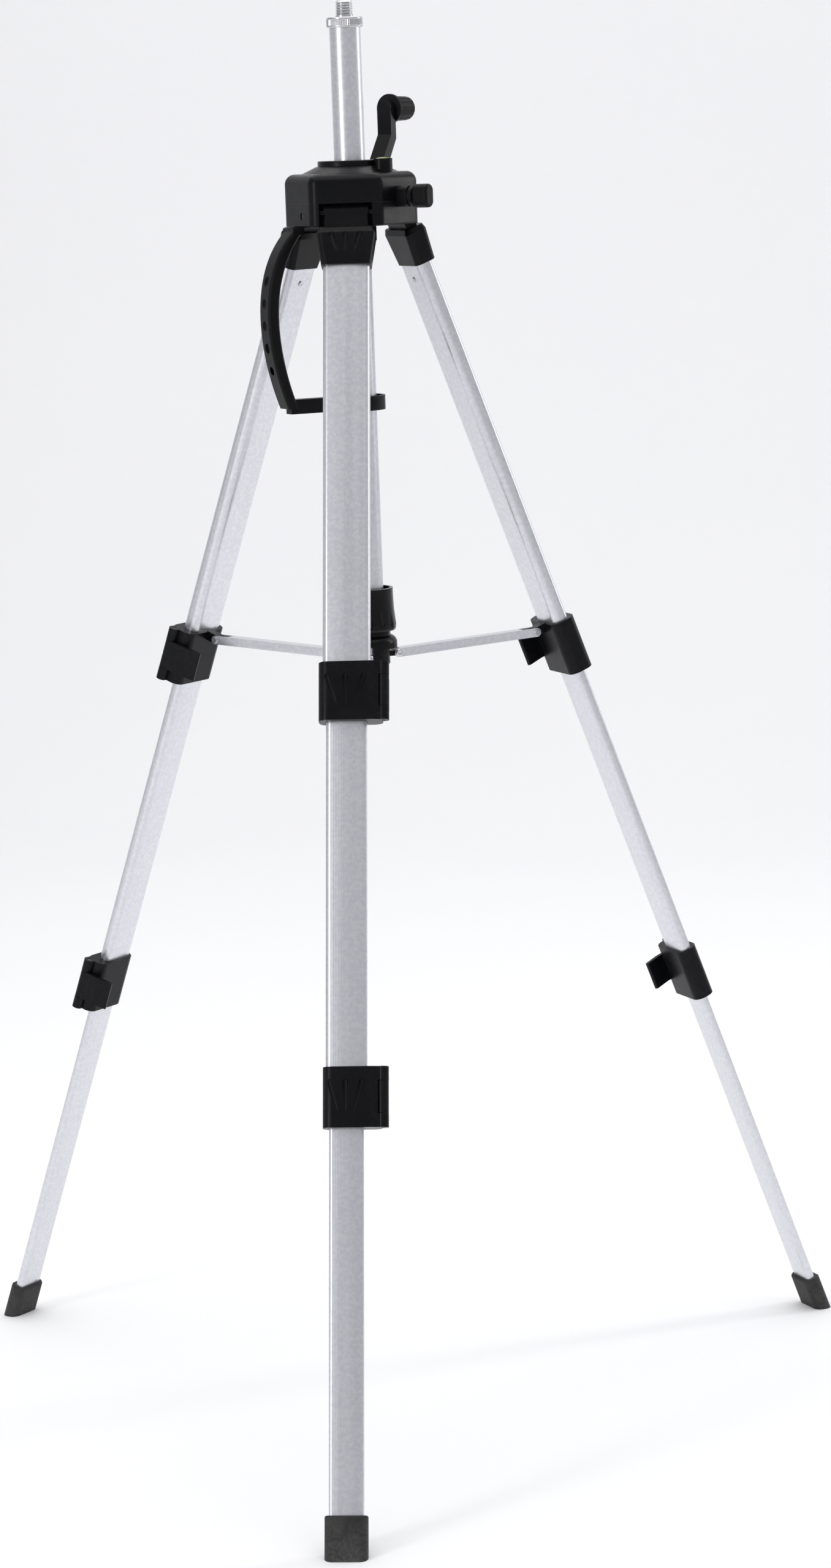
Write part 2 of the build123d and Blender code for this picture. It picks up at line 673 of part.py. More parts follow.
HANDLE_WIDTH = 23.0
HANDLE_RING_R = 22.0
RING_BOTTOM = 920.0
with BuildPart() as carry_handle:
    with BuildSketch(upright_plane(HANDLE_AZ).offset(-HANDLE_WIDTH / 2)):
        with BuildLine():
            outer = Spline(
                (63.0, 1083.0), (85.6, 1041.0), (89.4, 1013.0),
                (87.7, 980.0), (82.4, 953.0), (73.5, 925.0),
            )
            inner = Spline(
                (63.0, 925.0), (72.0, 953.0), (77.2, 980.0),
                (78.8, 1013.0), (74.5, 1041.0), (52.0, 1083.0),
            )
            Line(outer @ 1, inner @ 0)
            Line(inner @ 1, outer @ 0)
        make_face()
        with Locations((57.5, 1083.0)):
            Rectangle(11, 6)
    extrude(amount=HANDLE_WIDTH)
    fillet(carry_handle.edges().filter_by(GeomType.BSPLINE), 3.2)
    with BuildSketch(upright_plane(HANDLE_AZ).offset(-6)):
        with Locations((46.0, RING_BOTTOM + 6.5)):
            Rectangle(46, 13)
    extrude(amount=12)
    with BuildSketch(Plane.XY.offset(RING_BOTTOM)):
        Circle(HANDLE_RING_R + 2.5)
        Circle(HANDLE_RING_R, mode=Mode.SUBTRACT)
    extrude(amount=13)
    for pocket in range(5):
        height = 1040 - 20 * pocket
        reach = 90.6 - (height - 1008) ** 2 / 260
        with Locations(Location(radial_plane(HANDLE_AZ, reach, height).origin)):
            Sphere(4.6, mode=Mode.SUBTRACT)
save(carry_handle.part, "carry_handle")

# ---------------------------------------------------------------- column

RACK_WIDTH = 6.0
RACK_DEPTH = 4.4
with BuildPart() as column_tube:
    with BuildSketch(Plane.XY.offset(COLUMN_BOTTOM)):
        Circle(COLUMN_R)
        Circle(COLUMN_R - 3, mode=Mode.SUBTRACT)
    extrude(amount=COLUMN_TOP - COLUMN_BOTTOM)
    with BuildSketch(radial_plane(RACK_AZ, COLUMN_R - RACK_DEPTH, (COLUMN_TOP + COLUMN_BOTTOM) / 2)):
        Rectangle(RACK_WIDTH + 1.2, COLUMN_TOP - COLUMN_BOTTOM + 2)
    extrude(amount=10, mode=Mode.SUBTRACT)
save(column_tube.part, "column_tube")

PITCH = pi * MODULE
RACK_BOTTOM = COLUMN_BOTTOM + 3
RACK_TOP = COLUMN_TOP - 3
ROOT = PITCH_LINE - 1.25 * MODULE
TIP = PITCH_LINE + MODULE * 0.95
SLOPE = tan(radians(20))


def rack_points():
    """Corners of the rack's toothed edge, with a gap facing the pinion at rest."""
    count_down = int((CRANK_Z - RACK_BOTTOM) / PITCH) - 1
    count_up = int((RACK_TOP - CRANK_Z) / PITCH) - 1
    half = PITCH / 4 - BACKLASH / 2
    for tooth in range(-count_down, count_up):
        centre = CRANK_Z + (tooth + 0.5) * PITCH
        root_half = half + (PITCH_LINE - ROOT) * SLOPE
        tip_half = half - (TIP - PITCH_LINE) * SLOPE
        yield (ROOT, centre - root_half)
        yield (TIP, centre - tip_half)
        yield (TIP, centre + tip_half)
        yield (ROOT, centre + root_half)


with BuildPart() as column_rack:
    with BuildSketch(upright_plane(RACK_AZ).offset(-RACK_WIDTH / 2)):
        with BuildLine():
            floor_x = COLUMN_R - RACK_DEPTH
            Polyline(
                (floor_x, RACK_BOTTOM),
                (ROOT, RACK_BOTTOM),
                *rack_points(),
                (ROOT, RACK_TOP),
                (floor_x, RACK_TOP),
                close=True,
            )
        make_face()
    extrude(amount=RACK_WIDTH)
    with BuildSketch(upright_plane(RACK_AZ).offset(-RACK_WIDTH / 2 - 0.6)):
        with Locations(((floor_x + ROOT) / 2, (RACK_TOP + RACK_BOTTOM) / 2)):
            Rectangle(ROOT - floor_x, RACK_TOP - RACK_BOTTOM)
    extrude(amount=RACK_WIDTH + 1.2)
save(column_rack.part, "column_rack")

KNURL_R = 16.25
NECK_R = STUD_R - 1.9
RELIEF = 1.5
with BuildPart() as column_ring:
    with BuildSketch(Plane.XY.offset(COLUMN_TOP)):
        Circle(KNURL_R)
    extrude(amount=RING_TOP - COLUMN_TOP)
    chamfer(column_ring.edges().group_by(Axis.Z)[-1], 0.8)
    with BuildSketch(Plane.XY.offset(COLUMN_TOP)):
        Circle(NECK_R)
    extrude(amount=RING_TOP - COLUMN_TOP, mode=Mode.SUBTRACT)
    with BuildSketch(Plane.XY.offset(RING_TOP - RELIEF)):
        Circle(STUD_R + FIT)
    extrude(amount=RELIEF, mode=Mode.SUBTRACT)
    with BuildSketch(Plane.XY.offset(COLUMN_TOP + 1.5)):
        with PolarLocations(KNURL_R + 0.1, 60):
            Rectangle(0.5, 0.7, rotation=45)
    extrude(amount=RING_TOP - COLUMN_TOP - 3, mode=Mode.SUBTRACT)
save(column_ring.part, "column_ring")

with BuildPart() as top_stud:
    with BuildSketch(Plane.XY.offset(RING_TOP)):
        Circle(STUD_R)
    extrude(amount=STUD_TOP - RING_TOP)
    chamfer(top_stud.edges().group_by(Axis.Z)[-1], 1.0)
    with BuildSketch(Plane.XY.offset(COLUMN_TOP)):
        Circle(NECK_R - 0.02)
    extrude(amount=RING_TOP - COLUMN_TOP)
save(top_stud.part, "top_stud")

# ---------------------------------------------------------------- crank

BASE_R = MODULE * TEETH / 2 * cos(radians(20))


def involute_half_angle(radius):
    """Half of a pinion tooth's angle at a radius, in radians."""
    pitch_r = MODULE * TEETH / 2
    roll = tan(radians(20)) - radians(20)
    here = max(radius, BASE_R)
    pressure = ((here / BASE_R) ** 2 - 1) ** 0.5
    from_base = pressure - Vector(BASE_R, 0, 0).get_angle(Vector(BASE_R, pressure * BASE_R, 0)) * pi / 180
    return (PITCH / 2 - BACKLASH) / (2 * pitch_r) + roll - from_base


def pinion_points():
    """Corners of the pinion's outline, with one tooth centred towards the column."""
    radii = [MODULE * (TEETH / 2 + step) for step in (-1.2, -0.45, -0.1, 0.3, 0.65, 0.95)]
    for tooth in range(TEETH):
        middle = 2 * pi * tooth / TEETH
        for radius in radii:
            angle = middle - involute_half_angle(radius)
            yield (radius * cos(angle), radius * sin(angle))
        for radius in reversed(radii):
            angle = middle + involute_half_angle(radius)
            yield (radius * cos(angle), radius * sin(angle))


with BuildPart() as drive_pinion:
    with BuildSketch(crank_plane(-RACK_WIDTH / 2 + 0.1)):
        with BuildLine():
            Polyline(*pinion_points(), close=True)
        make_face()
        Circle(SHAFT_R + 0.01, mode=Mode.SUBTRACT)
    extrude(amount=RACK_WIDTH - 0.2)
save(drive_pinion.part, "drive_pinion")

with BuildPart() as crank_shaft:
    with BuildSketch(crank_plane(-13)):
        Circle(SHAFT_R)
    extrude(amount=CRANK_REACH + 13 - 3)
save(crank_shaft.part, "crank_shaft")

ARM_LEAN = 22.5
ARM_RISE = 71.0
ARM_BEND = 48.0
ARM_THICK = 8.0
ARM_HALF = 7.5
CRANK_HUB = 11.0
CRANK_HUB_R = 9.0
KNOB_LENGTH = 28.0
arm_side = Plane(origin=crank_start, x_dir=tuple(crank_dir), z_dir=tuple(crank_plane(0).x_dir))
with BuildPart() as crank_arm:
    with BuildSketch(crank_plane(CRANK_REACH - CRANK_HUB)):
        Circle(CRANK_HUB_R)
    extrude(amount=CRANK_HUB)
    with BuildSketch(arm_side.offset(-ARM_HALF)):
        with BuildLine():
            Polyline(
                (CRANK_REACH - CRANK_HUB, -4),
                (CRANK_REACH, -4),
                (CRANK_REACH + 1, 8),
                (CRANK_REACH + ARM_LEAN, ARM_BEND - 4),
                (CRANK_REACH + ARM_LEAN, ARM_RISE + ARM_HALF + 1),
                (CRANK_REACH + ARM_LEAN - ARM_THICK, ARM_RISE + ARM_HALF + 1),
                (CRANK_REACH + ARM_LEAN - ARM_THICK, ARM_BEND),
                (CRANK_REACH - CRANK_HUB, 8),
                close=True,
            )
        make_face()
    extrude(amount=2 * ARM_HALF)
    with BuildSketch(crank_plane(CRANK_REACH - CRANK_HUB - 4)):
        Rectangle(60, 400)
        with BuildLine():
            Polyline((-ARM_HALF, 0), (ARM_HALF, 0), (ARM_HALF, -ARM_RISE))
            ThreePointArc((ARM_HALF, -ARM_RISE), (0, -ARM_RISE - ARM_HALF), (-ARM_HALF, -ARM_RISE))
            Line((-ARM_HALF, -ARM_RISE), (-ARM_HALF, 0))
        make_face(mode=Mode.SUBTRACT)
        Circle(CRANK_HUB_R, mode=Mode.SUBTRACT)
    extrude(amount=60, mode=Mode.SUBTRACT)
    with BuildSketch(crank_plane(CRANK_REACH - CRANK_HUB - 1)):
        Circle(SHAFT_R + 0.01)
    extrude(amount=CRANK_HUB - 2, mode=Mode.SUBTRACT)
save(crank_arm.part, "crank_arm")

knob_centre = crank_plane(CRANK_REACH + ARM_LEAN).from_local_coords(Vector(0, -ARM_RISE, 0))


def knob_plane(along):
    """Plane square to the crank knob's axis, at a distance from the arm."""
    return Plane(
        origin=knob_centre + crank_dir * along,
        x_dir=crank_plane(0).x_dir,
        z_dir=tuple(crank_dir),
    )


KNOB_R = 11.5
KNOB_RIM = 3.0
FLUTES = 14
SPINDLE_R = 2.5
with BuildPart() as crank_knob:
    with BuildSketch(knob_plane(GAP)):
        Circle(KNOB_R + 2)
    extrude(amount=KNOB_RIM)
    with BuildSketch(knob_plane(GAP + KNOB_RIM)):
        Circle(KNOB_R)
    extrude(amount=KNOB_LENGTH - KNOB_RIM, taper=1.5)
    fillet(crank_knob.edges().sort_by(Axis((0, 0, 0), crank_dir))[-1], 2)
    with BuildSketch(knob_plane(GAP + KNOB_RIM + 1.5)):
        with PolarLocations(KNOB_R + 0.4, FLUTES):
            Circle(1.6)
    extrude(amount=KNOB_LENGTH, mode=Mode.SUBTRACT)
    with BuildSketch(knob_plane(0)):
        Circle(SPINDLE_R + FIT)
    extrude(amount=KNOB_LENGTH - 4, mode=Mode.SUBTRACT)
save(crank_knob.part, "crank_knob")

with BuildPart() as knob_spindle:
    with BuildSketch(knob_plane(0)):
        Circle(SPINDLE_R)
    extrude(amount=KNOB_LENGTH - 5)
save(knob_spindle.part, "knob_spindle")

# ---------------------------------------------------------------- column lock

SCREW_R = 4.0
PAD_END = 20.0
with BuildPart() as brake_pad:
    with BuildSketch(radial_plane(LOCK_AZ, PAD_END - 10, LOCK_Z)):
        Circle(SCREW_R)
    extrude(amount=10)
    with BuildSketch(Plane.XY.offset(LOCK_Z - 8)):
        Circle(COLUMN_R + 0.03)
    extrude(amount=16, mode=Mode.SUBTRACT)
save(brake_pad.part, "brake_pad")

KNOB_START = BOSS_END + 0.4
KNOB_COLLAR = 4.0
SCREW_DEPTH = 8.6
with BuildPart() as lock_screw:
    with BuildSketch(radial_plane(LOCK_AZ, PAD_END + FIT, LOCK_Z)):
        Circle(SCREW_R)
    extrude(amount=KNOB_START + SCREW_DEPTH - PAD_END - FIT)
save(lock_screw.part, "lock_screw")

with BuildPart() as lock_knob:
    with BuildSketch(radial_plane(LOCK_AZ, KNOB_START, LOCK_Z)):
        Circle(9.4)
    extrude(amount=KNOB_COLLAR)
    with BuildSketch(radial_plane(LOCK_AZ, KNOB_START + KNOB_COLLAR, LOCK_Z)):
        RectangleRounded(13, 21, 6)
    extrude(amount=15)
    outward = Axis((0, 0, 0), radial_plane(LOCK_AZ, 1, 0).z_dir)
    fillet(lock_knob.edges().sort_by(outward)[-8:], 2.5)
    with BuildSketch(radial_plane(LOCK_AZ, KNOB_START, LOCK_Z)):
        Circle(SCREW_R + 0.01)
    extrude(amount=SCREW_DEPTH + 0.1, mode=Mode.SUBTRACT)
save(lock_knob.part, "lock_knob")
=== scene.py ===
"""A tripod for a laser level: finishes, small parts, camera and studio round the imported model.

Lengths are in metres, +Z is up and the floor is at zero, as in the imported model.
"""

import json
import logging
import math
from dataclasses import dataclass, field
from enum import Enum
from typing import Callable, Iterable

import bmesh
import bpy
from mathutils import Matrix, Vector

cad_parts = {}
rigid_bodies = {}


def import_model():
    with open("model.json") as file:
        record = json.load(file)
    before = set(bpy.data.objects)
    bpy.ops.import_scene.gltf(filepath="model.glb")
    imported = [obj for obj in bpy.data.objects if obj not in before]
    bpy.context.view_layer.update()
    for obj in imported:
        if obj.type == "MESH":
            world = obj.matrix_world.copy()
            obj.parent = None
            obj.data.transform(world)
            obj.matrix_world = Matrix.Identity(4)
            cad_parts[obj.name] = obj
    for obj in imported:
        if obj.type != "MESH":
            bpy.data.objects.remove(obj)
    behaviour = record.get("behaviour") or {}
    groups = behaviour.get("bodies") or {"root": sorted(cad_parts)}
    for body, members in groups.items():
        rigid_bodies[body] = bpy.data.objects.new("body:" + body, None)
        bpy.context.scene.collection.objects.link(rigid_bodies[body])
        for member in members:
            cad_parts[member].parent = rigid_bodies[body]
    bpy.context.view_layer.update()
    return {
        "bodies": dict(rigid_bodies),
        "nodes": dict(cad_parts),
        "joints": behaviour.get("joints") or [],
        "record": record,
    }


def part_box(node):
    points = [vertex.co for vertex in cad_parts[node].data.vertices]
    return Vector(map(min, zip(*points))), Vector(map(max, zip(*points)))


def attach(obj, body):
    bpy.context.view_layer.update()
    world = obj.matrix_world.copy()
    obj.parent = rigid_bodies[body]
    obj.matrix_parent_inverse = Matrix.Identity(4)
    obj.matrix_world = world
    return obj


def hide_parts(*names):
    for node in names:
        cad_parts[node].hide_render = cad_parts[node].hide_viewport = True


log = logging.getLogger("tripod")

MM = 0.001
SPLAY = math.radians(20.905)
LEG_RADIUS = 62.4 * MM
LEG_HEIGHT = 1052.0 * MM
HUB_HEIGHT = 695.0 * MM
HUB_PIVOT_RADIUS = 29.0 * MM

# Leg sections: width, depth, crown of the outer face, inner corner, outer corner
MIDDLE_SECTION = (35.7 * MM, 13.2 * MM, 2.0 * MM, 5.2 * MM, 4.2 * MM)
LOWER_SECTION = (29.8 * MM, 9.6 * MM, 1.4 * MM, 3.6 * MM, 3.0 * MM)
TUBE_WALL = 1.2 * MM
RIB_PITCH = 1.1 * MM
RIB_DEPTH = 0.025 * MM
RIB_STEPS = 4
CORNER_STEPS = 9

# Domed head with a dimple: share of the height and share of the radius, from the rim inwards
HEAD_PROFILE = ((0.0, 1.0), (0.35, 0.99), (0.65, 0.92), (0.88, 0.76), (1.0, 0.5), (0.82, 0.36), (0.76, 0.1))
HEAD_STEPS = 36


class Side(Enum):
    """The three legs, each with the direction it stands in, in degrees from +X."""

    FRONT = ("front", -90.0)
    RIGHT = ("right", 30.0)
    LEFT = ("left", 150.0)

    @property
    def label(self) -> str:
        """The word that starts the names of the leg's pieces."""
        return self.value[0]

    @property
    def outward(self) -> Vector:
        """Level unit vector from the column axis towards the foot."""
        angle = math.radians(self.value[1])
        return Vector((math.cos(angle), math.sin(angle), 0.0))

    @property
    def across(self) -> Vector:
        """Level unit vector along the leg's fold axis."""
        return Vector((-self.outward.y, self.outward.x, 0.0))

    @property
    def run(self) -> Vector:
        """Unit vector up the leg."""
        return Vector((0, 0, 1)) * math.cos(SPLAY) - self.outward * math.sin(SPLAY)

    @property
    def inward(self) -> Vector:
        """Unit vector square to the leg, from its outer face to its inner one."""
        return self.run.cross(self.across)


# ------------------------------------------------------------------ node groups


class NodeGraph:
    """A short way to add and join nodes in a node tree."""

    def __init__(self, tree: bpy.types.NodeTree) -> None:
        """Keep the tree.

        Args:
            tree: The node tree to add to.
        """
        self.tree = tree

    def add(self, kind: str, **settings: object) -> bpy.types.Node:
        """Add a node and set its properties.

        Args:
            kind: The node's type name.
            **settings: Properties to set on the node.

        Returns:
            The new node.
        """
        node = self.tree.nodes.new(kind)
        for name, value in settings.items():
            setattr(node, name, value)
        return node

    def join(self, source: bpy.types.NodeSocket, target: bpy.types.NodeSocket) -> None:
        """Link an output to an input."""
        self.tree.links.new(source, target)

    def math(self, operation: str, first: object, second: object = None) -> bpy.types.NodeSocket:
        """Add a Math node.

        Args:
            operation: The node's operation.
            first: A socket or a number.
            second: A socket or a number, if the operation has two inputs.

        Returns:
            The node's output socket.
        """
        node = self.add("ShaderNodeMath", operation=operation)
        for socket, value in zip(node.inputs, (first, second)):
            if isinstance(value, bpy.types.NodeSocket):
                self.join(value, socket)
            elif value is not None:
                socket.default_value = value
        return node.outputs[0]

    def span(self, value: bpy.types.NodeSocket, low: float, high: float, to_low: object,
             to_high: object) -> bpy.types.NodeSocket:
        """Map a value from one range to another, clamped.

        Args:
            value: The value to map.
            low: Start of its range.
            high: End of its range.
            to_low: Result at the start, a number or a socket.
            to_high: Result at the end, a number or a socket.

        Returns:
            The mapped value's socket.
        """
        node = self.add("ShaderNodeMapRange", clamp=True)
        self.join(value, node.inputs["Value"])
        node.inputs["From Min"].default_value = low
        node.inputs["From Max"].default_value = high
        for name, end in (("To Min", to_low), ("To Max", to_high)):
            if isinstance(end, bpy.types.NodeSocket):
                self.join(end, node.inputs[name])
            else:
                node.inputs[name].default_value = end
        return node.outputs["Result"]

    def blend(self, factor: bpy.types.NodeSocket, first: object, second: object) -> bpy.types.NodeSocket:
        """Mix two colours.

        Args:
            factor: 0 for the first colour, 1 for the second.
            first: A socket or an RGBA tuple.
            second: A socket or an RGBA tuple.

        Returns:
            The mixed colour's socket.
        """
        node = self.add("ShaderNodeMix", data_type="RGBA")
        self.join(factor, node.inputs["Factor"])
        for index, colour in ((6, first), (7, second)):
            if isinstance(colour, bpy.types.NodeSocket):
                self.join(colour, node.inputs[index])
            else:
                node.inputs[index].default_value = colour
        return node.outputs[2]


class SharedGroups:
    """The shader node groups that more than one finish uses, built once each."""

    def __init__(self) -> None:
        """Build every group."""
        self.grain = self._grain()
        self.drawn = self._drawn()
        self.wear = self._wear()
        self.haze = self._haze()

    @staticmethod
    def _start(name: str, inputs: Iterable[tuple], outputs: Iterable[tuple]) -> tuple:
        """Make an empty group with named sockets.

        Args:
            name: The group's name.
            inputs: Pairs of socket name and default value, a float or a 3-tuple.
            outputs: Pairs of socket name and socket type.

        Returns:
            The group, its graph, its input node and its output node.
        """
        tree = bpy.data.node_groups.new(name, "ShaderNodeTree")
        for label, default in inputs:
            kind = "NodeSocketVector" if isinstance(default, tuple) else "NodeSocketFloat"
            socket = tree.interface.new_socket(name=label, in_out="INPUT", socket_type=kind)
            socket.default_value = default
        for label, kind in outputs:
            tree.interface.new_socket(name=label, in_out="OUTPUT", socket_type=kind)
        graph = NodeGraph(tree)
        return tree, graph, graph.add("NodeGroupInput"), graph.add("NodeGroupOutput")

    def _grain(self) -> bpy.types.NodeTree:
        """Spark-eroded mould grain: small pits over a slow unevenness."""
        tree, graph, ins, outs = self._start(
            "mould_grain",
            (("Scale", 2200.0), ("Unevenness", 0.3)),
            (("Height", "NodeSocketFloat"), ("Mask", "NodeSocketFloat")),
        )
        place = graph.add("ShaderNodeTexCoord").outputs["Object"]
        pits = graph.add("ShaderNodeTexVoronoi", feature="SMOOTH_F1")
        graph.join(place, pits.inputs["Vector"])
        graph.join(ins.outputs["Scale"], pits.inputs["Scale"])
        fine = graph.add("ShaderNodeTexNoise")
        graph.join(place, fine.inputs["Vector"])
        graph.join(ins.outputs["Scale"], fine.inputs["Scale"])
        fine.inputs["Detail"].default_value = 3.0
        slow = graph.add("ShaderNodeTexNoise")
        graph.join(place, slow.inputs["Vector"])
        slow.inputs["Scale"].default_value = 55.0
        slow.inputs["Detail"].default_value = 4.0
        both = graph.math("ADD", graph.math("MULTIPLY", pits.outputs["Distance"], 0.6), fine.outputs[0])
        graph.join(both, outs.inputs["Height"])
        uneven = graph.math("MULTIPLY", slow.outputs[0], ins.outputs["Unevenness"])
        speckle = graph.math("MULTIPLY", fine.outputs[0], 0.3)
        graph.join(graph.math("ADD", uneven, speckle), outs.inputs["Mask"])
        return tree

    def _drawn(self) -> bpy.types.NodeTree:
        """Fine lines that run along an extruded or drawn piece."""
        tree, graph, ins, outs = self._start(
            "drawn_lines",
            (("Along", (0.0, 0.0, 1.0)), ("Scale", 1800.0)),
            (("Height", "NodeSocketFloat"), ("Mask", "NodeSocketFloat")),
        )
        place = graph.add("ShaderNodeTexCoord").outputs["Object"]
        reach = graph.add("ShaderNodeVectorMath", operation="DOT_PRODUCT")
        graph.join(place, reach.inputs[0])
        graph.join(ins.outputs["Along"], reach.inputs[1])
        part = graph.math("MULTIPLY", reach.outputs["Value"], 0.993)
        back = graph.add("ShaderNodeVectorMath", operation="SCALE")
        graph.join(ins.outputs["Along"], back.inputs[0])
        graph.join(part, back.inputs["Scale"])
        flat = graph.add("ShaderNodeVectorMath", operation="SUBTRACT")
        graph.join(place, flat.inputs[0])
        graph.join(back.outputs[0], flat.inputs[1])
        lines = graph.add("ShaderNodeTexNoise")
        graph.join(flat.outputs[0], lines.inputs["Vector"])
        graph.join(ins.outputs["Scale"], lines.inputs["Scale"])
        lines.inputs["Detail"].default_value = 3.0
        bands = graph.add("ShaderNodeTexNoise")
        graph.join(flat.outputs[0], bands.inputs["Vector"])
        graph.join(graph.math("MULTIPLY", ins.outputs["Scale"], 0.12), bands.inputs["Scale"])
        graph.join(lines.outputs[0], outs.inputs["Height"])
        both = graph.math("ADD", graph.math("MULTIPLY", lines.outputs[0], 0.6), bands.outputs[0])
        graph.join(graph.math("MULTIPLY", both, 0.62), outs.inputs["Mask"])
        return tree

    def _wear(self) -> bpy.types.NodeTree:
        """Rubbed edges: a mask that is 1 on the sharpest edges and 0 on the faces."""
        tree, graph, ins, outs = self._start(
            "edge_wear",
            (("Amount", 0.5), ("Break Up", 180.0)),
            (("Mask", "NodeSocketFloat"),),
        )
        sharp = graph.add("ShaderNodeNewGeometry").outputs["Pointiness"]
        place = graph.add("ShaderNodeTexCoord").outputs["Object"]
        noise = graph.add("ShaderNodeTexNoise")
        graph.join(place, noise.inputs["Vector"])
        graph.join(ins.outputs["Break Up"], noise.inputs["Scale"])
        noise.inputs["Detail"].default_value = 5.0
        edge = graph.span(sharp, 0.52, 0.62, 0.0, 1.0)
        patch = graph.span(noise.outputs[0], 0.42, 0.6, 0.35, 1.0)
        graph.join(graph.math("MULTIPLY", graph.math("MULTIPLY", edge, patch), ins.outputs["Amount"]),
                   outs.inputs["Mask"])
        return tree

    def _haze(self) -> bpy.types.NodeTree:
        """Handling marks and faint dust in soft patches."""
        tree, graph, ins, outs = self._start(
            "handling_haze",
            (("Size", 22.0), ("Amount", 0.5)),
            (("Mask", "NodeSocketFloat"),),
        )
        place = graph.add("ShaderNodeTexCoord").outputs["Object"]
        noise = graph.add("ShaderNodeTexNoise")
        graph.join(place, noise.inputs["Vector"])
        graph.join(ins.outputs["Size"], noise.inputs["Scale"])
        noise.inputs["Detail"].default_value = 6.0
        noise.inputs["Distortion"].default_value = 0.6
        patch = graph.span(noise.outputs[0], 0.38, 0.72, 0.0, 1.0)
        graph.join(graph.math("MULTIPLY", patch, ins.outputs["Amount"]), outs.inputs["Mask"])
        return tree


# ------------------------------------------------------------------ finishes


class Paint:
    """A new material with its Principled shader at hand."""

    def __init__(self, name: str, groups: SharedGroups) -> None:
        """Make the material.

        Args:
            name: The material's name.
            groups: The shared node groups.
        """
        self.material = bpy.data.materials.new(name)
        self.material.use_nodes = True
        self.graph = NodeGraph(self.material.node_tree)
        self.shader = self.material.node_tree.nodes["Principled BSDF"]
        self.groups = groups

    def group(self, tree: bpy.types.NodeTree, **values: object) -> bpy.types.Node:
        """Place a shared group with its own values.

        Args:
            tree: The group.
            **values: Input values, with spaces in their names as underscores.

        Returns:
            The group node.
        """
        node = self.graph.add("ShaderNodeGroup", node_tree=tree)
        for name, value in values.items():
            node.inputs[name.replace("_", " ")].default_value = value
        return node

    def bump(self, height: bpy.types.NodeSocket, strength: float, depth: float, edge: float = 0.0) -> None:
        """Feed the shader's Normal from a height.

        Args:
            height: The height socket.
            strength: The Bump node's strength.
            depth: The height of a full step, in metres.
            edge: Radius by which the edges are softened, in metres.
        """
        node = self.graph.add("ShaderNodeBump")
        if edge:
            soft = self.graph.add("ShaderNodeBevel", samples=4)
            soft.inputs["Radius"].default_value = edge
            self.graph.join(soft.outputs[0], node.inputs["Normal"])
        node.inputs["Strength"].default_value = strength
        node.inputs["Distance"].default_value = depth
        self.graph.join(height, node.inputs["Height"])
        self.graph.join(node.outputs[0], self.shader.inputs["Normal"])

    def feed(self, name: str, socket: bpy.types.NodeSocket) -> None:
        """Link a socket to one of the shader's inputs."""
        self.graph.join(socket, self.shader.inputs[name])

    def fix(self, **values: object) -> None:
        """Set constants on the shader's own sockets, with spaces in their names as underscores."""
        for name, value in values.items():
            self.shader.inputs[name.replace("_", " ")].default_value = value


def shade(colour: tuple, factor: float) -> tuple:
    """A darker or lighter copy of an RGB colour, as RGBA.

    Args:
        colour: Red, green and blue.
        factor: 1 keeps it.

    Returns:
        The RGBA tuple.
    """
    return (colour[0] * factor, colour[1] * factor, colour[2] * factor, 1.0)


@dataclass(frozen=True)
class MouldedPlastic:
    """Satin moulded plastic with mould grain, rubbed edges and handling marks."""

    name: str
    colour: tuple = (0.0026, 0.0027, 0.0033)
    roughness: float = 0.27
    gloss: float = 0.15
    coat: float = 0.0
    grain: float = 2400.0
    grain_depth: float = 0.00003
    wear: float = 0.35

    def make(self, groups: SharedGroups) -> bpy.types.Material:
        """Build the material.

        Args:
            groups: The shared node groups.

        Returns:
            The material.
        """
        paint = Paint(self.name, groups)
        grain = paint.group(groups.grain, Scale=self.grain, Unevenness=0.5)
        wear = paint.group(groups.wear, Amount=self.wear, Break_Up=240.0)
        haze = paint.group(groups.haze, Size=26.0, Amount=0.6)
        body = paint.graph.blend(grain.outputs["Mask"], shade(self.colour, 0.8), shade(self.colour, 1.2))
        dusty = paint.graph.blend(haze.outputs["Mask"], body, shade(self.colour, 1.6))
        paint.feed("Base Color", paint.graph.blend(wear.outputs["Mask"], dusty, shade(self.colour, 5.0)))
        smooth, rough_end = self.roughness - 0.05, self.roughness + 0.06
        rough = paint.graph.span(grain.outputs["Mask"], 0.1, 0.7, smooth, rough_end)
        paint.feed("Roughness", paint.graph.math(
            "ADD", rough, paint.graph.math("MULTIPLY", haze.outputs["Mask"], 0.12)))
        paint.bump(grain.outputs["Height"], 0.2, self.grain_depth, 0.6 * MM)
        paint.fix(Specular_IOR_Level=self.gloss, Coat_Weight=self.coat, Coat_Roughness=0.12)
        return paint.material


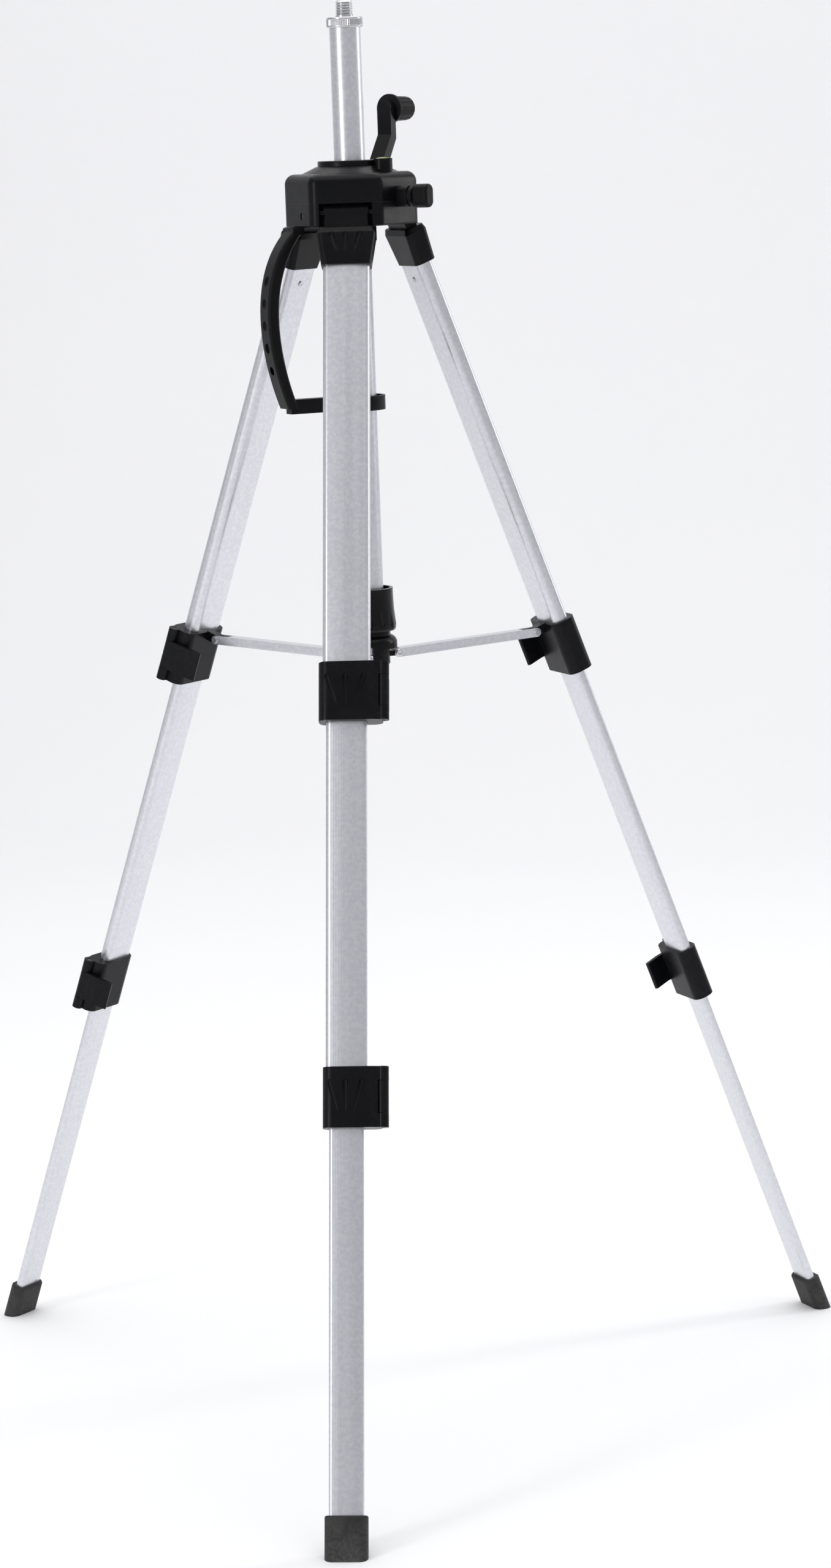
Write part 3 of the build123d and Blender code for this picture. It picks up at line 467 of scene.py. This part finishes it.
@dataclass(frozen=True)
class Anodised:
    """Satin anodised aluminium with fine extrusion lines along the piece."""

    name: str
    along: tuple = (0.0, 0.0, 1.0)
    colour: tuple = (0.68, 0.685, 0.73)
    roughness: float = 0.31
    lines: float = 1700.0

    def make(self, groups: SharedGroups) -> bpy.types.Material:
        """Build the material.

        Args:
            groups: The shared node groups.

        Returns:
            The material.
        """
        paint = Paint(self.name, groups)
        drawn = paint.group(groups.drawn, Along=self.along, Scale=self.lines)
        haze = paint.group(groups.haze, Size=14.0, Amount=0.2)
        wear = paint.group(groups.wear, Amount=0.4, Break_Up=300.0)
        metal = paint.graph.blend(drawn.outputs["Mask"], shade(self.colour, 0.9), shade(self.colour, 1.04))
        cool = (self.colour[0] * 0.95, self.colour[1] * 0.96, min(1.0, self.colour[2] * 1.03), 1.0)
        tinted = paint.graph.blend(haze.outputs["Mask"], metal, cool)
        paint.feed("Base Color", paint.graph.blend(wear.outputs["Mask"], tinted, (0.93, 0.93, 0.94, 1.0)))
        smooth, rough_end = self.roughness - 0.05, self.roughness + 0.07
        rough = paint.graph.span(drawn.outputs["Mask"], 0.2, 0.8, smooth, rough_end)
        paint.feed("Roughness", paint.graph.math(
            "ADD", rough, paint.graph.math("MULTIPLY", haze.outputs["Mask"], 0.06)))
        paint.bump(drawn.outputs["Height"], 0.16, 0.00002, 0.25 * MM)
        paint.fix(Metallic=0.85, Coat_Weight=0.08, Coat_Roughness=0.3)
        return paint.material


@dataclass(frozen=True)
class Rubber:
    """Matt moulded rubber with a dusty bloom."""

    name: str
    colour: tuple = (0.009, 0.009, 0.009)

    def make(self, groups: SharedGroups) -> bpy.types.Material:
        """Build the material.

        Args:
            groups: The shared node groups.

        Returns:
            The material.
        """
        paint = Paint(self.name, groups)
        grain = paint.group(groups.grain, Scale=1500.0, Unevenness=0.8)
        haze = paint.group(groups.haze, Size=60.0, Amount=0.9)
        wear = paint.group(groups.wear, Amount=0.7, Break_Up=400.0)
        body = paint.graph.blend(grain.outputs["Mask"], shade(self.colour, 0.7), shade(self.colour, 1.6))
        bloom = paint.graph.blend(haze.outputs["Mask"], body, (0.045, 0.044, 0.042, 1.0))
        paint.feed("Base Color", paint.graph.blend(wear.outputs["Mask"], bloom, (0.09, 0.088, 0.085, 1.0)))
        paint.feed("Roughness", paint.graph.span(haze.outputs["Mask"], 0.0, 1.0, 0.55, 0.82))
        paint.bump(grain.outputs["Height"], 0.35, 0.00005)
        paint.fix(Specular_IOR_Level=0.35)
        return paint.material


@dataclass(frozen=True)
class BrightMetal:
    """Plated or turned steel with turning lines and slight tarnish."""

    name: str
    colour: tuple = (0.72, 0.72, 0.74)
    roughness: float = 0.16
    along: tuple = (0.0, 0.0, 1.0)

    def make(self, groups: SharedGroups) -> bpy.types.Material:
        """Build the material.

        Args:
            groups: The shared node groups.

        Returns:
            The material.
        """
        paint = Paint(self.name, groups)
        grain = paint.group(groups.grain, Scale=900.0, Unevenness=0.6)
        drawn = paint.group(groups.drawn, Along=self.along, Scale=2600.0)
        haze = paint.group(groups.haze, Size=70.0, Amount=0.8)
        metal = paint.graph.blend(drawn.outputs["Mask"], shade(self.colour, 0.82), shade(self.colour, 1.1))
        paint.feed("Base Color", paint.graph.blend(haze.outputs["Mask"], metal, shade(self.colour, 0.7)))
        rough = paint.graph.span(grain.outputs["Mask"], 0.1, 0.7, self.roughness, self.roughness + 0.1)
        paint.feed("Roughness", paint.graph.math(
            "ADD", rough, paint.graph.math("MULTIPLY", haze.outputs["Mask"], 0.12)))
        paint.bump(drawn.outputs["Height"], 0.08, 0.00001)
        paint.fix(Metallic=1.0)
        return paint.material


@dataclass(frozen=True)
class VialLiquid:
    """Greenish-yellow spirit in a clear capsule."""

    name: str
    deep: tuple = (0.55, 0.74, 0.12, 1.0)
    pale: tuple = (0.74, 0.85, 0.30, 1.0)

    def make(self, groups: SharedGroups) -> bpy.types.Material:
        """Build the material.

        Args:
            groups: The shared node groups.

        Returns:
            The material.
        """
        paint = Paint(self.name, groups)
        haze = paint.group(groups.haze, Size=120.0, Amount=0.8)
        paint.feed("Base Color", paint.graph.blend(haze.outputs["Mask"], self.deep, self.pale))
        paint.feed("Roughness", paint.graph.span(haze.outputs["Mask"], 0.0, 1.0, 0.03, 0.08))
        paint.fix(Transmission_Weight=0.35, IOR=1.45, Coat_Weight=0.6, Coat_Roughness=0.04)
        return paint.material


@dataclass(frozen=True)
class PaleFloor:
    """Seamless pale studio floor."""

    name: str = "studio_floor"

    def make(self, groups: SharedGroups) -> bpy.types.Material:
        """Build the material.

        Args:
            groups: The shared node groups.

        Returns:
            The material.
        """
        paint = Paint(self.name, groups)
        haze = paint.group(groups.haze, Size=1.5, Amount=0.5)
        paint.feed("Base Color", paint.graph.blend(
            haze.outputs["Mask"], (0.965, 0.965, 0.97, 1.0), (0.985, 0.985, 0.985, 1.0)))
        paint.fix(Roughness=0.65, Specular_IOR_Level=0.2)
        return paint.material


@dataclass
class FinishBook:
    """Every finish of the tripod, made once."""

    groups: SharedGroups
    made: dict = field(default_factory=dict)

    def get(self, finish: object) -> bpy.types.Material:
        """The material of a finish, built on its first use.

        Args:
            finish: A finish dataclass.

        Returns:
            The material.
        """
        if finish not in self.made:
            self.made[finish] = finish.make(self.groups)
        return self.made[finish]


SHELL = MouldedPlastic("housing_plastic")
CLAMP = MouldedPlastic("clamp_plastic", roughness=0.28, grain=2900.0)
GRIP = MouldedPlastic("grip_plastic", roughness=0.38, grain=1800.0)
GLOSSY = MouldedPlastic("collar_plastic", roughness=0.17, gloss=0.2, coat=0.08, grain=3200.0)
FOOT = Rubber("foot_rubber")
CHROME = BrightMetal("bright_plate")
STEEL = BrightMetal("plain_steel", colour=(0.5, 0.5, 0.52), roughness=0.28)
BLACK_STEEL = BrightMetal("blackened_steel", colour=(0.03, 0.03, 0.033), roughness=0.35)
NYLON = MouldedPlastic("white_nylon", colour=(0.55, 0.54, 0.5), roughness=0.45, gloss=0.4, wear=0.1)
SPIRIT = VialLiquid("vial_spirit")
BUBBLE = VialLiquid("vial_air", deep=(0.86, 0.92, 0.55, 1.0), pale=(0.95, 0.97, 0.80, 1.0))


# ------------------------------------------------------------------ mesh helpers

def dress(node: bpy.types.Object, material: bpy.types.Material) -> None:
    """Give an object one material in every slot.

    Args:
        node: The object.
        material: The material.
    """
    if not node.material_slots:
        node.data.materials.append(material)
    for slot in node.material_slots:
        slot.material = material


def make_object(name: str, mesh: bmesh.types.BMesh, smooth: bool = True) -> bpy.types.Object:
    """Turn a bmesh into an object in the scene.

    Args:
        name: The object's name.
        mesh: The bmesh, which is freed.
        smooth: Whether its faces are shaded smooth.

    Returns:
        The object.
    """
    bmesh.ops.recalc_face_normals(mesh, faces=mesh.faces)
    data = bpy.data.meshes.new(name)
    mesh.to_mesh(data)
    mesh.free()
    for face in data.polygons:
        face.use_smooth = smooth
    piece = bpy.data.objects.new(name, data)
    bpy.context.scene.collection.objects.link(piece)
    return piece


def plain_radius(nominal: float, angle: float, height: float) -> float:
    """The radius of a piece that is round all the way."""
    return nominal


def turned(name: str, rings: list, centre: Vector, radius: Callable[[float, float, float], float],
           steps: int, ring: bool = False) -> bpy.types.Object:
    """A closed turned piece whose radius may change with the angle.

    Args:
        name: The object's name.
        rings: Pairs of height and nominal radius, from the bottom up.
        centre: The foot of its axis.
        radius: Function of nominal radius, angle and height that gives the real radius.
        steps: Points in each ring.
        ring: Whether the last ring joins the first instead of both ends being closed.

    Returns:
        The object.
    """
    mesh = bmesh.new()
    loops = []
    for height, nominal in rings:
        loop = []
        for step in range(steps):
            angle = 2 * math.pi * step / steps
            reach = radius(nominal, angle, height)
            place = Vector((reach * math.cos(angle), reach * math.sin(angle), height))
            loop.append(mesh.verts.new(centre + place))
        loops.append(loop)
    for lower, upper in zip(loops, loops[1:] + loops[:1] if ring else loops[1:]):
        bridge(mesh, lower, upper)
    if not ring:
        for loop in (loops[0], loops[-1]):
            sharp_edges(mesh.faces.new(loop))
    return make_object(name, mesh)


def bridge(mesh: bmesh.types.BMesh, lower: list, upper: list) -> list:
    """Join two closed loops of as many points with a band of faces.

    Args:
        mesh: The bmesh.
        lower: The first loop's points.
        upper: The second loop's points.

    Returns:
        The new faces.
    """
    count = len(lower)
    return [mesh.faces.new((lower[step], lower[(step + 1) % count], upper[(step + 1) % count], upper[step]))
            for step in range(count)]


def sharp_edges(face: bmesh.types.BMFace) -> None:
    """Keep the edges round a face crisp when the mesh is shaded smooth."""
    for edge in face.edges:
        edge.smooth = False


def rivet_heads(name: str, pivot: Vector, along: Vector, reach: float, radius: float, height: float,
                facings: tuple) -> bpy.types.Object:
    """Domed rivet heads with a dimple, on one or both ends of a rivet.

    Args:
        name: The object's name.
        pivot: The middle of the rivet.
        along: Unit vector along the rivet.
        reach: How far each head's underside stands from the pivot.
        radius: The heads' radius.
        height: The heads' height.
        facings: 1 for a head at the far end, -1 for one at the near end.

    Returns:
        The object.
    """
    mesh = bmesh.new()
    first = along.orthogonal().normalized()
    second = along.cross(first)
    for facing in facings:
        loops = []
        for rise, share in HEAD_PROFILE:
            foot = pivot + along * facing * (reach + height * rise)
            turns = (2 * math.pi * step / HEAD_STEPS for step in range(HEAD_STEPS))
            loops.append([
                mesh.verts.new(foot + (first * math.cos(turn) + second * math.sin(turn)) * radius * share)
                for turn in turns
            ])
        for lower, upper in zip(loops, loops[1:]):
            bridge(mesh, lower, upper)
        for loop in (loops[0], loops[-1]):
            mesh.faces.new(loop)
    return make_object(name, mesh)


def section_points(width: float, depth: float, crown: float, inner: float, outer: float) -> list:
    """Points round a leg tube's section, with fine ribs along its outer face.

    Args:
        width: Size across the leg.
        depth: Size from the outer face to the inner one.
        crown: How far the outer face falls back at its edges.
        inner: Corner radius of the inner face.
        outer: Corner radius of the outer face.

    Returns:
        Pairs of place across and place inwards, in metres, once round.
    """
    half, deep = width / 2, depth / 2
    points = []
    face = half - outer
    steps = 2 * RIB_STEPS * round(face / RIB_PITCH)
    for step in range(steps + 1):
        place = -face + 2 * face * step / steps
        rib = 0.5 - 0.5 * math.cos(math.pi * step / RIB_STEPS)
        points.append((place, -deep + RIB_DEPTH * rib))
    for corner, radius, start in (((half - outer, -deep + outer), outer, -90),
                                  ((half - inner, deep - inner), inner, 0),
                                  ((-half + inner, deep - inner), inner, 90),
                                  ((-half + outer, -deep + outer), outer, 180)):
        for step in range(1, CORNER_STEPS):
            turn = math.radians(start + 90 * step / CORNER_STEPS)
            points.append((corner[0] + radius * math.cos(turn), corner[1] + radius * math.sin(turn)))
    return [(across, inwards + crown * (across / half) ** 2 * max(0.0, min(1.0, -inwards / deep)))
            for across, inwards in points]


# ------------------------------------------------------------------ sub-assemblies


@dataclass
class SubAssembly:
    """A group of pieces that are dressed together."""

    frame: dict
    book: FinishBook

    def dress_nodes(self, finish: object, *names: str) -> None:
        """Give carried-over nodes a finish and report them.

        Args:
            finish: The finish.
            *names: The nodes' names.
        """
        for name in names:
            dress(self.frame["nodes"][name], self.book.get(finish))
            log.info("dressed %s", name)

    def add_piece(self, piece: bpy.types.Object, body: str, slot: str, finish: object) -> None:
        """Dress a new piece, make it ride on a body and report it.

        Args:
            piece: The new piece.
            body: The body it moves with.
            slot: The record's material slot; not used.
            finish: The finish.
        """
        dress(piece, self.book.get(finish))
        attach(piece, body)
        log.info("built %s on %s", piece.name, body)


@dataclass
class Housing(SubAssembly):
    """The head between the legs, with its disc, level, sleeve and handle."""

    dome_rise: float = 0.9 * MM
    dome_height: float = 1.4 * MM
    circle_outer: float = 2.9 * MM
    circle_inner: float = 2.45 * MM
    bubble_radius: float = 2.1 * MM
    bubble_rise: float = 0.2 * MM
    bubble_aside: tuple = (0.5 * MM, 0.3 * MM, 0.0)

    def build(self) -> None:
        """Dress the head's pieces."""
        self.dress_nodes(SHELL, "housing_lower", "housing_upper", "top_disc")
        self.dress_nodes(GRIP, "carry_handle")
        self.dress_nodes(NYLON, "guide_sleeve", "brake_pad")
        self.dress_nodes(BLACK_STEEL, "leg_pivot_pins")
        self.dress_nodes(STEEL, "housing_screws")
        self.dress_nodes(Anodised("centre_tube_metal"), "centre_tube")
        self.level()

    def level(self) -> None:
        """Make the round level: a domed capsule of spirit, its marked circle and its bubble."""
        low, high = (Vector(corner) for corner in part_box("level_vial"))
        radius = (high.x - low.x) / 2
        centre = Vector(((low.x + high.x) / 2, (low.y + high.y) / 2, 0.0))
        top = high.z + self.dome_rise
        dome = [(top - self.dome_height * (1 - math.cos(turn)), radius * math.sin(turn))
                for turn in (math.pi / 2 * step / 10 for step in range(10, 0, -1))]
        capsule = turned("vial_capsule", [(low.z, radius * 0.98)] + dome, centre, plain_radius, 64)
        self.add_piece(capsule, "frame", "vial_green", SPIRIT)
        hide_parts("level_vial")
        under, over = top - 0.25 * MM, top + 0.02 * MM
        profile = [(under, self.circle_outer), (over, self.circle_outer),
                   (over, self.circle_inner), (under, self.circle_inner)]
        circle = turned("vial_circle", profile, centre, plain_radius, 64, ring=True)
        self.add_piece(circle, "frame", "knob_black", GRIP)
        lens = [(top + self.bubble_rise * math.cos(turn), self.bubble_radius * math.sin(turn))
                for turn in (math.pi * step / 8 for step in range(7, 0, -1))]
        bubble = turned("vial_bubble", lens, centre + Vector(self.bubble_aside), plain_radius, 40)
        self.add_piece(bubble, "frame", "vial_green", BUBBLE)


@dataclass
class Column(SubAssembly):
    """The geared column with its rack, ring and threaded stud."""

    pitch: float = 25.4 * MM / 11
    thread_depth: float = 1.25 * MM
    chamfer: float = 1.3 * MM
    plain: float = 1.2 * MM
    knurls: int = 64
    knurl_depth: float = 0.55 * MM
    knurl_run_out: float = 0.5 * MM
    ring_edge: float = 0.7 * MM

    def stud(self) -> bpy.types.Object:
        """The stud with its helical thread."""
        low, high = (Vector(corner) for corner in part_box("top_stud"))
        ring_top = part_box("column_ring")[1][2]
        radius = (high.x - low.x) / 2
        centre = Vector(((low.x + high.x) / 2, (low.y + high.y) / 2, 0.0))
        height = high.z - ring_top
        rings = [(ring_top + height * step / 110, radius) for step in range(111)]

        def threaded(nominal: float, angle: float, level: float) -> float:
            """Radius of the thread at an angle and a height."""
            turn = ((level - ring_top) / self.pitch - angle / (2 * math.pi)) % 1.0
            groove = min(1.0, max(0.0, 1.15 - abs(turn - 0.5) * 2.6))
            fade = min(1.0, max(0.0, (level - ring_top - self.plain) / MM))
            tip = max(0.0, self.chamfer - (high.z - level))
            return min(nominal - self.thread_depth * groove * fade, nominal - tip)

        return turned("threaded_stud", rings, centre, threaded, 72)

    def ring(self) -> bpy.types.Object:
        """The knurled ring under the stud."""
        low, high = (Vector(corner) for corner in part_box("column_ring"))
        radius = (high.x - low.x) / 2
        centre = Vector(((low.x + high.x) / 2, (low.y + high.y) / 2, 0.0))
        band = (low.z + 1.4 * MM, high.z - 1.6 * MM)
        edge = self.ring_edge
        rings = [(low.z, radius - edge), (low.z + edge, radius)]
        rings += [(band[0] + (band[1] - band[0]) * step / 24, radius) for step in range(25)]
        rings += [(high.z - edge, radius), (high.z, radius - edge)]

        def knurled(nominal: float, angle: float, level: float) -> float:
            """Radius of the straight knurl at an angle and a height."""
            if nominal < radius or not band[0] <= level <= band[1]:
                return nominal
            ends = min(1.0, (level - band[0]) / self.knurl_run_out, (band[1] - level) / self.knurl_run_out)
            tooth = abs((angle / (2 * math.pi) * self.knurls) % 1.0 - 0.5)
            return nominal - self.knurl_depth * ends * (1.0 - 2.0 * tooth)

        return turned("knurled_ring", rings, centre, knurled, self.knurls * 8)

    def build(self) -> None:
        """Dress the column and make its turned pieces."""
        self.dress_nodes(Anodised("column_metal", roughness=0.3), "column_tube")
        self.dress_nodes(GRIP, "column_rack")
        for piece, node in ((self.stud(), "top_stud"), (self.ring(), "column_ring")):
            self.add_piece(piece, "column", "bright_steel", CHROME)
            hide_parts(node)


@dataclass
class Crank(SubAssembly):
    """The column's crank, its pinion and shaft, and the column lock."""

    def build(self) -> None:
        """Dress the crank and the lock."""
        self.dress_nodes(SHELL, "crank_arm")
        self.dress_nodes(GRIP, "crank_knob", "lock_knob")
        self.dress_nodes(STEEL, "crank_shaft", "drive_pinion", "knob_spindle", "lock_screw")


@dataclass
class Spreader(SubAssembly):
    """The sliding hub with its twist collar and the three arms."""

    axis: Vector
    rivet_reach: float = 6.15 * MM
    rivet_radius: float = 3.55 * MM
    rivet_height: float = 1.5 * MM

    def build(self) -> None:
        """Dress the hub, the collar and the arms, and add the rivet heads."""
        self.dress_nodes(CLAMP, "spreader_hub")
        self.dress_nodes(GLOSSY, "twist_collar")
        for side in Side:
            along = tuple(round(value, 6) for value in side.outward)
            self.dress_nodes(Anodised(f"{side.label}_arm_metal", along), f"{side.label}_spreader_arm")
            pivot = self.axis + side.outward * HUB_PIVOT_RADIUS + Vector((0, 0, HUB_HEIGHT))
            rivets = rivet_heads(f"{side.label}_arm_rivets", pivot, side.across, self.rivet_reach,
                                 self.rivet_radius, self.rivet_height, (-1, 1))
            self.add_piece(rivets, f"{side.label}_arm", "bright_steel", CHROME)


@dataclass
class Leg(SubAssembly):
    """One leg: bracket, three tube sections, two flip locks and a foot."""

    axis: Vector
    side: Side = Side.FRONT
    rivet_drop: float = -16.0 * MM
    rivet_reach: float = 8.4 * MM
    rivet_radius: float = 3.0 * MM
    rivet_height: float = 1.1 * MM

    @property
    def origin(self) -> Vector:
        """The middle of the leg at the bracket, from which places along it are counted."""
        return self.axis + self.side.outward * LEG_RADIUS + Vector((0, 0, LEG_HEIGHT))

    def node(self, name: str) -> str:
        """The full name of one of this leg's nodes."""
        return f"{self.side.label}_{name}"

    def ribbed_tube(self, name: str, section: tuple) -> bpy.types.Object:
        """A leg section with fine ribs along its outer face, as long as the node it stands for.

        Args:
            name: The node's name without the leg's.
            section: Width, depth, crown, inner corner and outer corner.

        Returns:
            The object.
        """
        places = [(vertex.co - self.origin).dot(self.side.run)
                  for vertex in self.frame["nodes"][self.node(name)].data.vertices]
        outer = section_points(*section)
        shrink = (1 - 2 * TUBE_WALL / section[0], 1 - 2 * TUBE_WALL / section[1])
        inner = [(across * shrink[0], inwards * shrink[1]) for across, inwards in outer]
        mesh = bmesh.new()
        loops = [[mesh.verts.new(self.origin + self.side.across * across + self.side.inward * inwards
                                 + self.side.run * end) for across, inwards in points]
                 for points, end in ((outer, min(places)), (outer, max(places)),
                                     (inner, max(places)), (inner, min(places)))]
        for index, (first, second) in enumerate(zip(loops, loops[1:] + loops[:1])):
            band = bridge(mesh, first, second)
            if index % 2:
                for face in band:
                    sharp_edges(face)
        return make_object(f"{self.side.label}_ribbed_{name}", mesh)

    def build(self) -> None:
        """Dress the leg's pieces and make its ribbed sections."""
        along = tuple(round(value, 6) for value in self.side.run)
        metal = Anodised(f"{self.side.label}_leg_metal", along)
        self.dress_nodes(metal, self.node("upper_tube"))
        spot = self.origin + self.side.run * self.rivet_drop
        rivet = rivet_heads(f"{self.side.label}_tube_rivet", spot, self.side.inward, self.rivet_reach,
                            self.rivet_radius, self.rivet_height, (1,))
        self.add_piece(rivet, self.node("leg"), "bright_steel", CHROME)
        for name, section in (("middle_tube", MIDDLE_SECTION), ("lower_tube", LOWER_SECTION)):
            tube = self.ribbed_tube(name, section)
            self.add_piece(tube, self.node(name.removesuffix("_tube")), "anodised_silver", metal)
            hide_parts(self.node(name))
        self.dress_nodes(CLAMP, self.node("upper_lock_collar"), self.node("lower_lock_collar"))
        self.dress_nodes(SHELL, self.node("leg_bracket"))
        self.dress_nodes(GRIP, self.node("upper_lock_lever"), self.node("lower_lock_lever"))
        self.dress_nodes(STEEL, self.node("leg_pins"), self.node("lower_lock_pin"))
        self.dress_nodes(FOOT, self.node("foot"))


# ------------------------------------------------------------------ studio


@dataclass
class Studio:
    """Camera, lights and floor."""

    book: FinishBook
    axis: Vector
    camera_place: Vector = field(default_factory=lambda: Vector((0.34667, -3.53924, 1.16737)))
    yaw: float = math.radians(-4.956)
    pitch: float = math.radians(9.487)
    roll: float = math.radians(-2.002)
    lens: float = 89.57
    sensor: float = 36.0

    def camera(self) -> None:
        """Set the camera by its place, yaw, pitch and roll about the column axis."""
        data = bpy.data.cameras.new("camera")
        data.sensor_width = self.sensor
        data.lens = self.lens
        data.clip_end = 30.0
        seen = bpy.data.objects.new("camera", data)
        ahead = Vector((math.sin(self.yaw) * math.cos(self.pitch), math.cos(self.yaw) * math.cos(self.pitch),
                        -math.sin(self.pitch)))
        level = Vector((math.cos(self.yaw), -math.sin(self.yaw), 0.0))
        above = level.cross(ahead)
        right = level * math.cos(self.roll) + above * math.sin(self.roll)
        up = above * math.cos(self.roll) - level * math.sin(self.roll)
        place = self.camera_place + Vector((self.axis.x, self.axis.y, 0.0))
        seen.matrix_world = Matrix((
            (right.x, up.x, -ahead.x, place.x),
            (right.y, up.y, -ahead.y, place.y),
            (right.z, up.z, -ahead.z, place.z),
            (0.0, 0.0, 0.0, 1.0),
        ))
        bpy.context.scene.collection.objects.link(seen)
        bpy.context.scene.camera = seen

    def lamp(self, name: str, place: tuple, target: tuple, power: float, width: float, height: float) -> None:
        """Add a soft rectangular light.

        Args:
            name: The light's name.
            place: Where it stands, from the foot of the column axis.
            target: The point it faces, from the foot of the column axis.
            power: Its power in watts.
            width: Its width.
            height: Its height.
        """
        data = bpy.data.lights.new(name, "AREA")
        data.shape = "RECTANGLE"
        data.size = width
        data.size_y = height
        data.energy = power
        lamp = bpy.data.objects.new(name, data)
        lamp.location = self.axis + Vector(place)
        facing = Vector(target) - Vector(place)
        lamp.rotation_euler = facing.to_track_quat("-Z", "Y").to_euler()
        bpy.context.scene.collection.objects.link(lamp)

    def floor(self) -> None:
        """A wide pale floor that curves up at the back."""
        mesh = bmesh.new()
        half, back, bend, wall_top = 14.0, 2.8, 1.2, 4.5
        rows = [(-half, 0.0), (back, 0.0)]
        rows += [(back + bend * math.sin(turn), bend * (1 - math.cos(turn)))
                 for turn in (math.pi / 2 * step / 12 for step in range(1, 13))]
        rows.append((back + bend, wall_top))
        loops = [[mesh.verts.new((x, self.axis.y + y, z)) for x in (-half, half)] for y, z in rows]
        for lower, upper in zip(loops, loops[1:]):
            mesh.faces.new((lower[0], lower[1], upper[1], upper[0]))
        floor = make_object("studio_floor", mesh)
        dress(floor, self.book.get(PaleFloor()))

    def world(self) -> None:
        """An even pale surround."""
        world = bpy.data.worlds.new("surround")
        world.use_nodes = True
        world.node_tree.nodes["Background"].inputs["Color"].default_value = (0.96, 0.965, 1.0, 1.0)
        world.node_tree.nodes["Background"].inputs["Strength"].default_value = 0.5
        bpy.context.scene.world = world
        bpy.context.scene.view_settings.view_transform = "Standard"

    def build(self) -> None:
        """Set up the camera, the lights and the floor."""
        self.camera()
        self.floor()
        self.world()
        self.lamp("key_light", (-2.4, -2.6, 1.6), (0, 0, 0.7), 24.0, 0.55, 1.9)
        self.lamp("rim_light", (2.6, 1.2, 1.8), (0, 0, 0.8), 14.0, 0.4, 2.0)
        self.lamp("top_light", (0.0, 0.3, 3.8), (0, 0, 0.0), 100.0, 4.5, 5.0)


def main() -> None:
    """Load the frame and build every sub-assembly."""
    logging.basicConfig(level=logging.INFO, format="%(message)s")
    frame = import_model()
    low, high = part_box("centre_tube")
    axis = Vector(((low[0] + high[0]) / 2, (low[1] + high[1]) / 2, 0.0))
    book = FinishBook(SharedGroups())
    Studio(book, axis).build()
    Housing(frame, book).build()
    Column(frame, book).build()
    Crank(frame, book).build()
    Spreader(frame, book, axis).build()
    for side in Side:
        Leg(frame, book, axis, side).build()


if __name__ == "__main__":
    main()
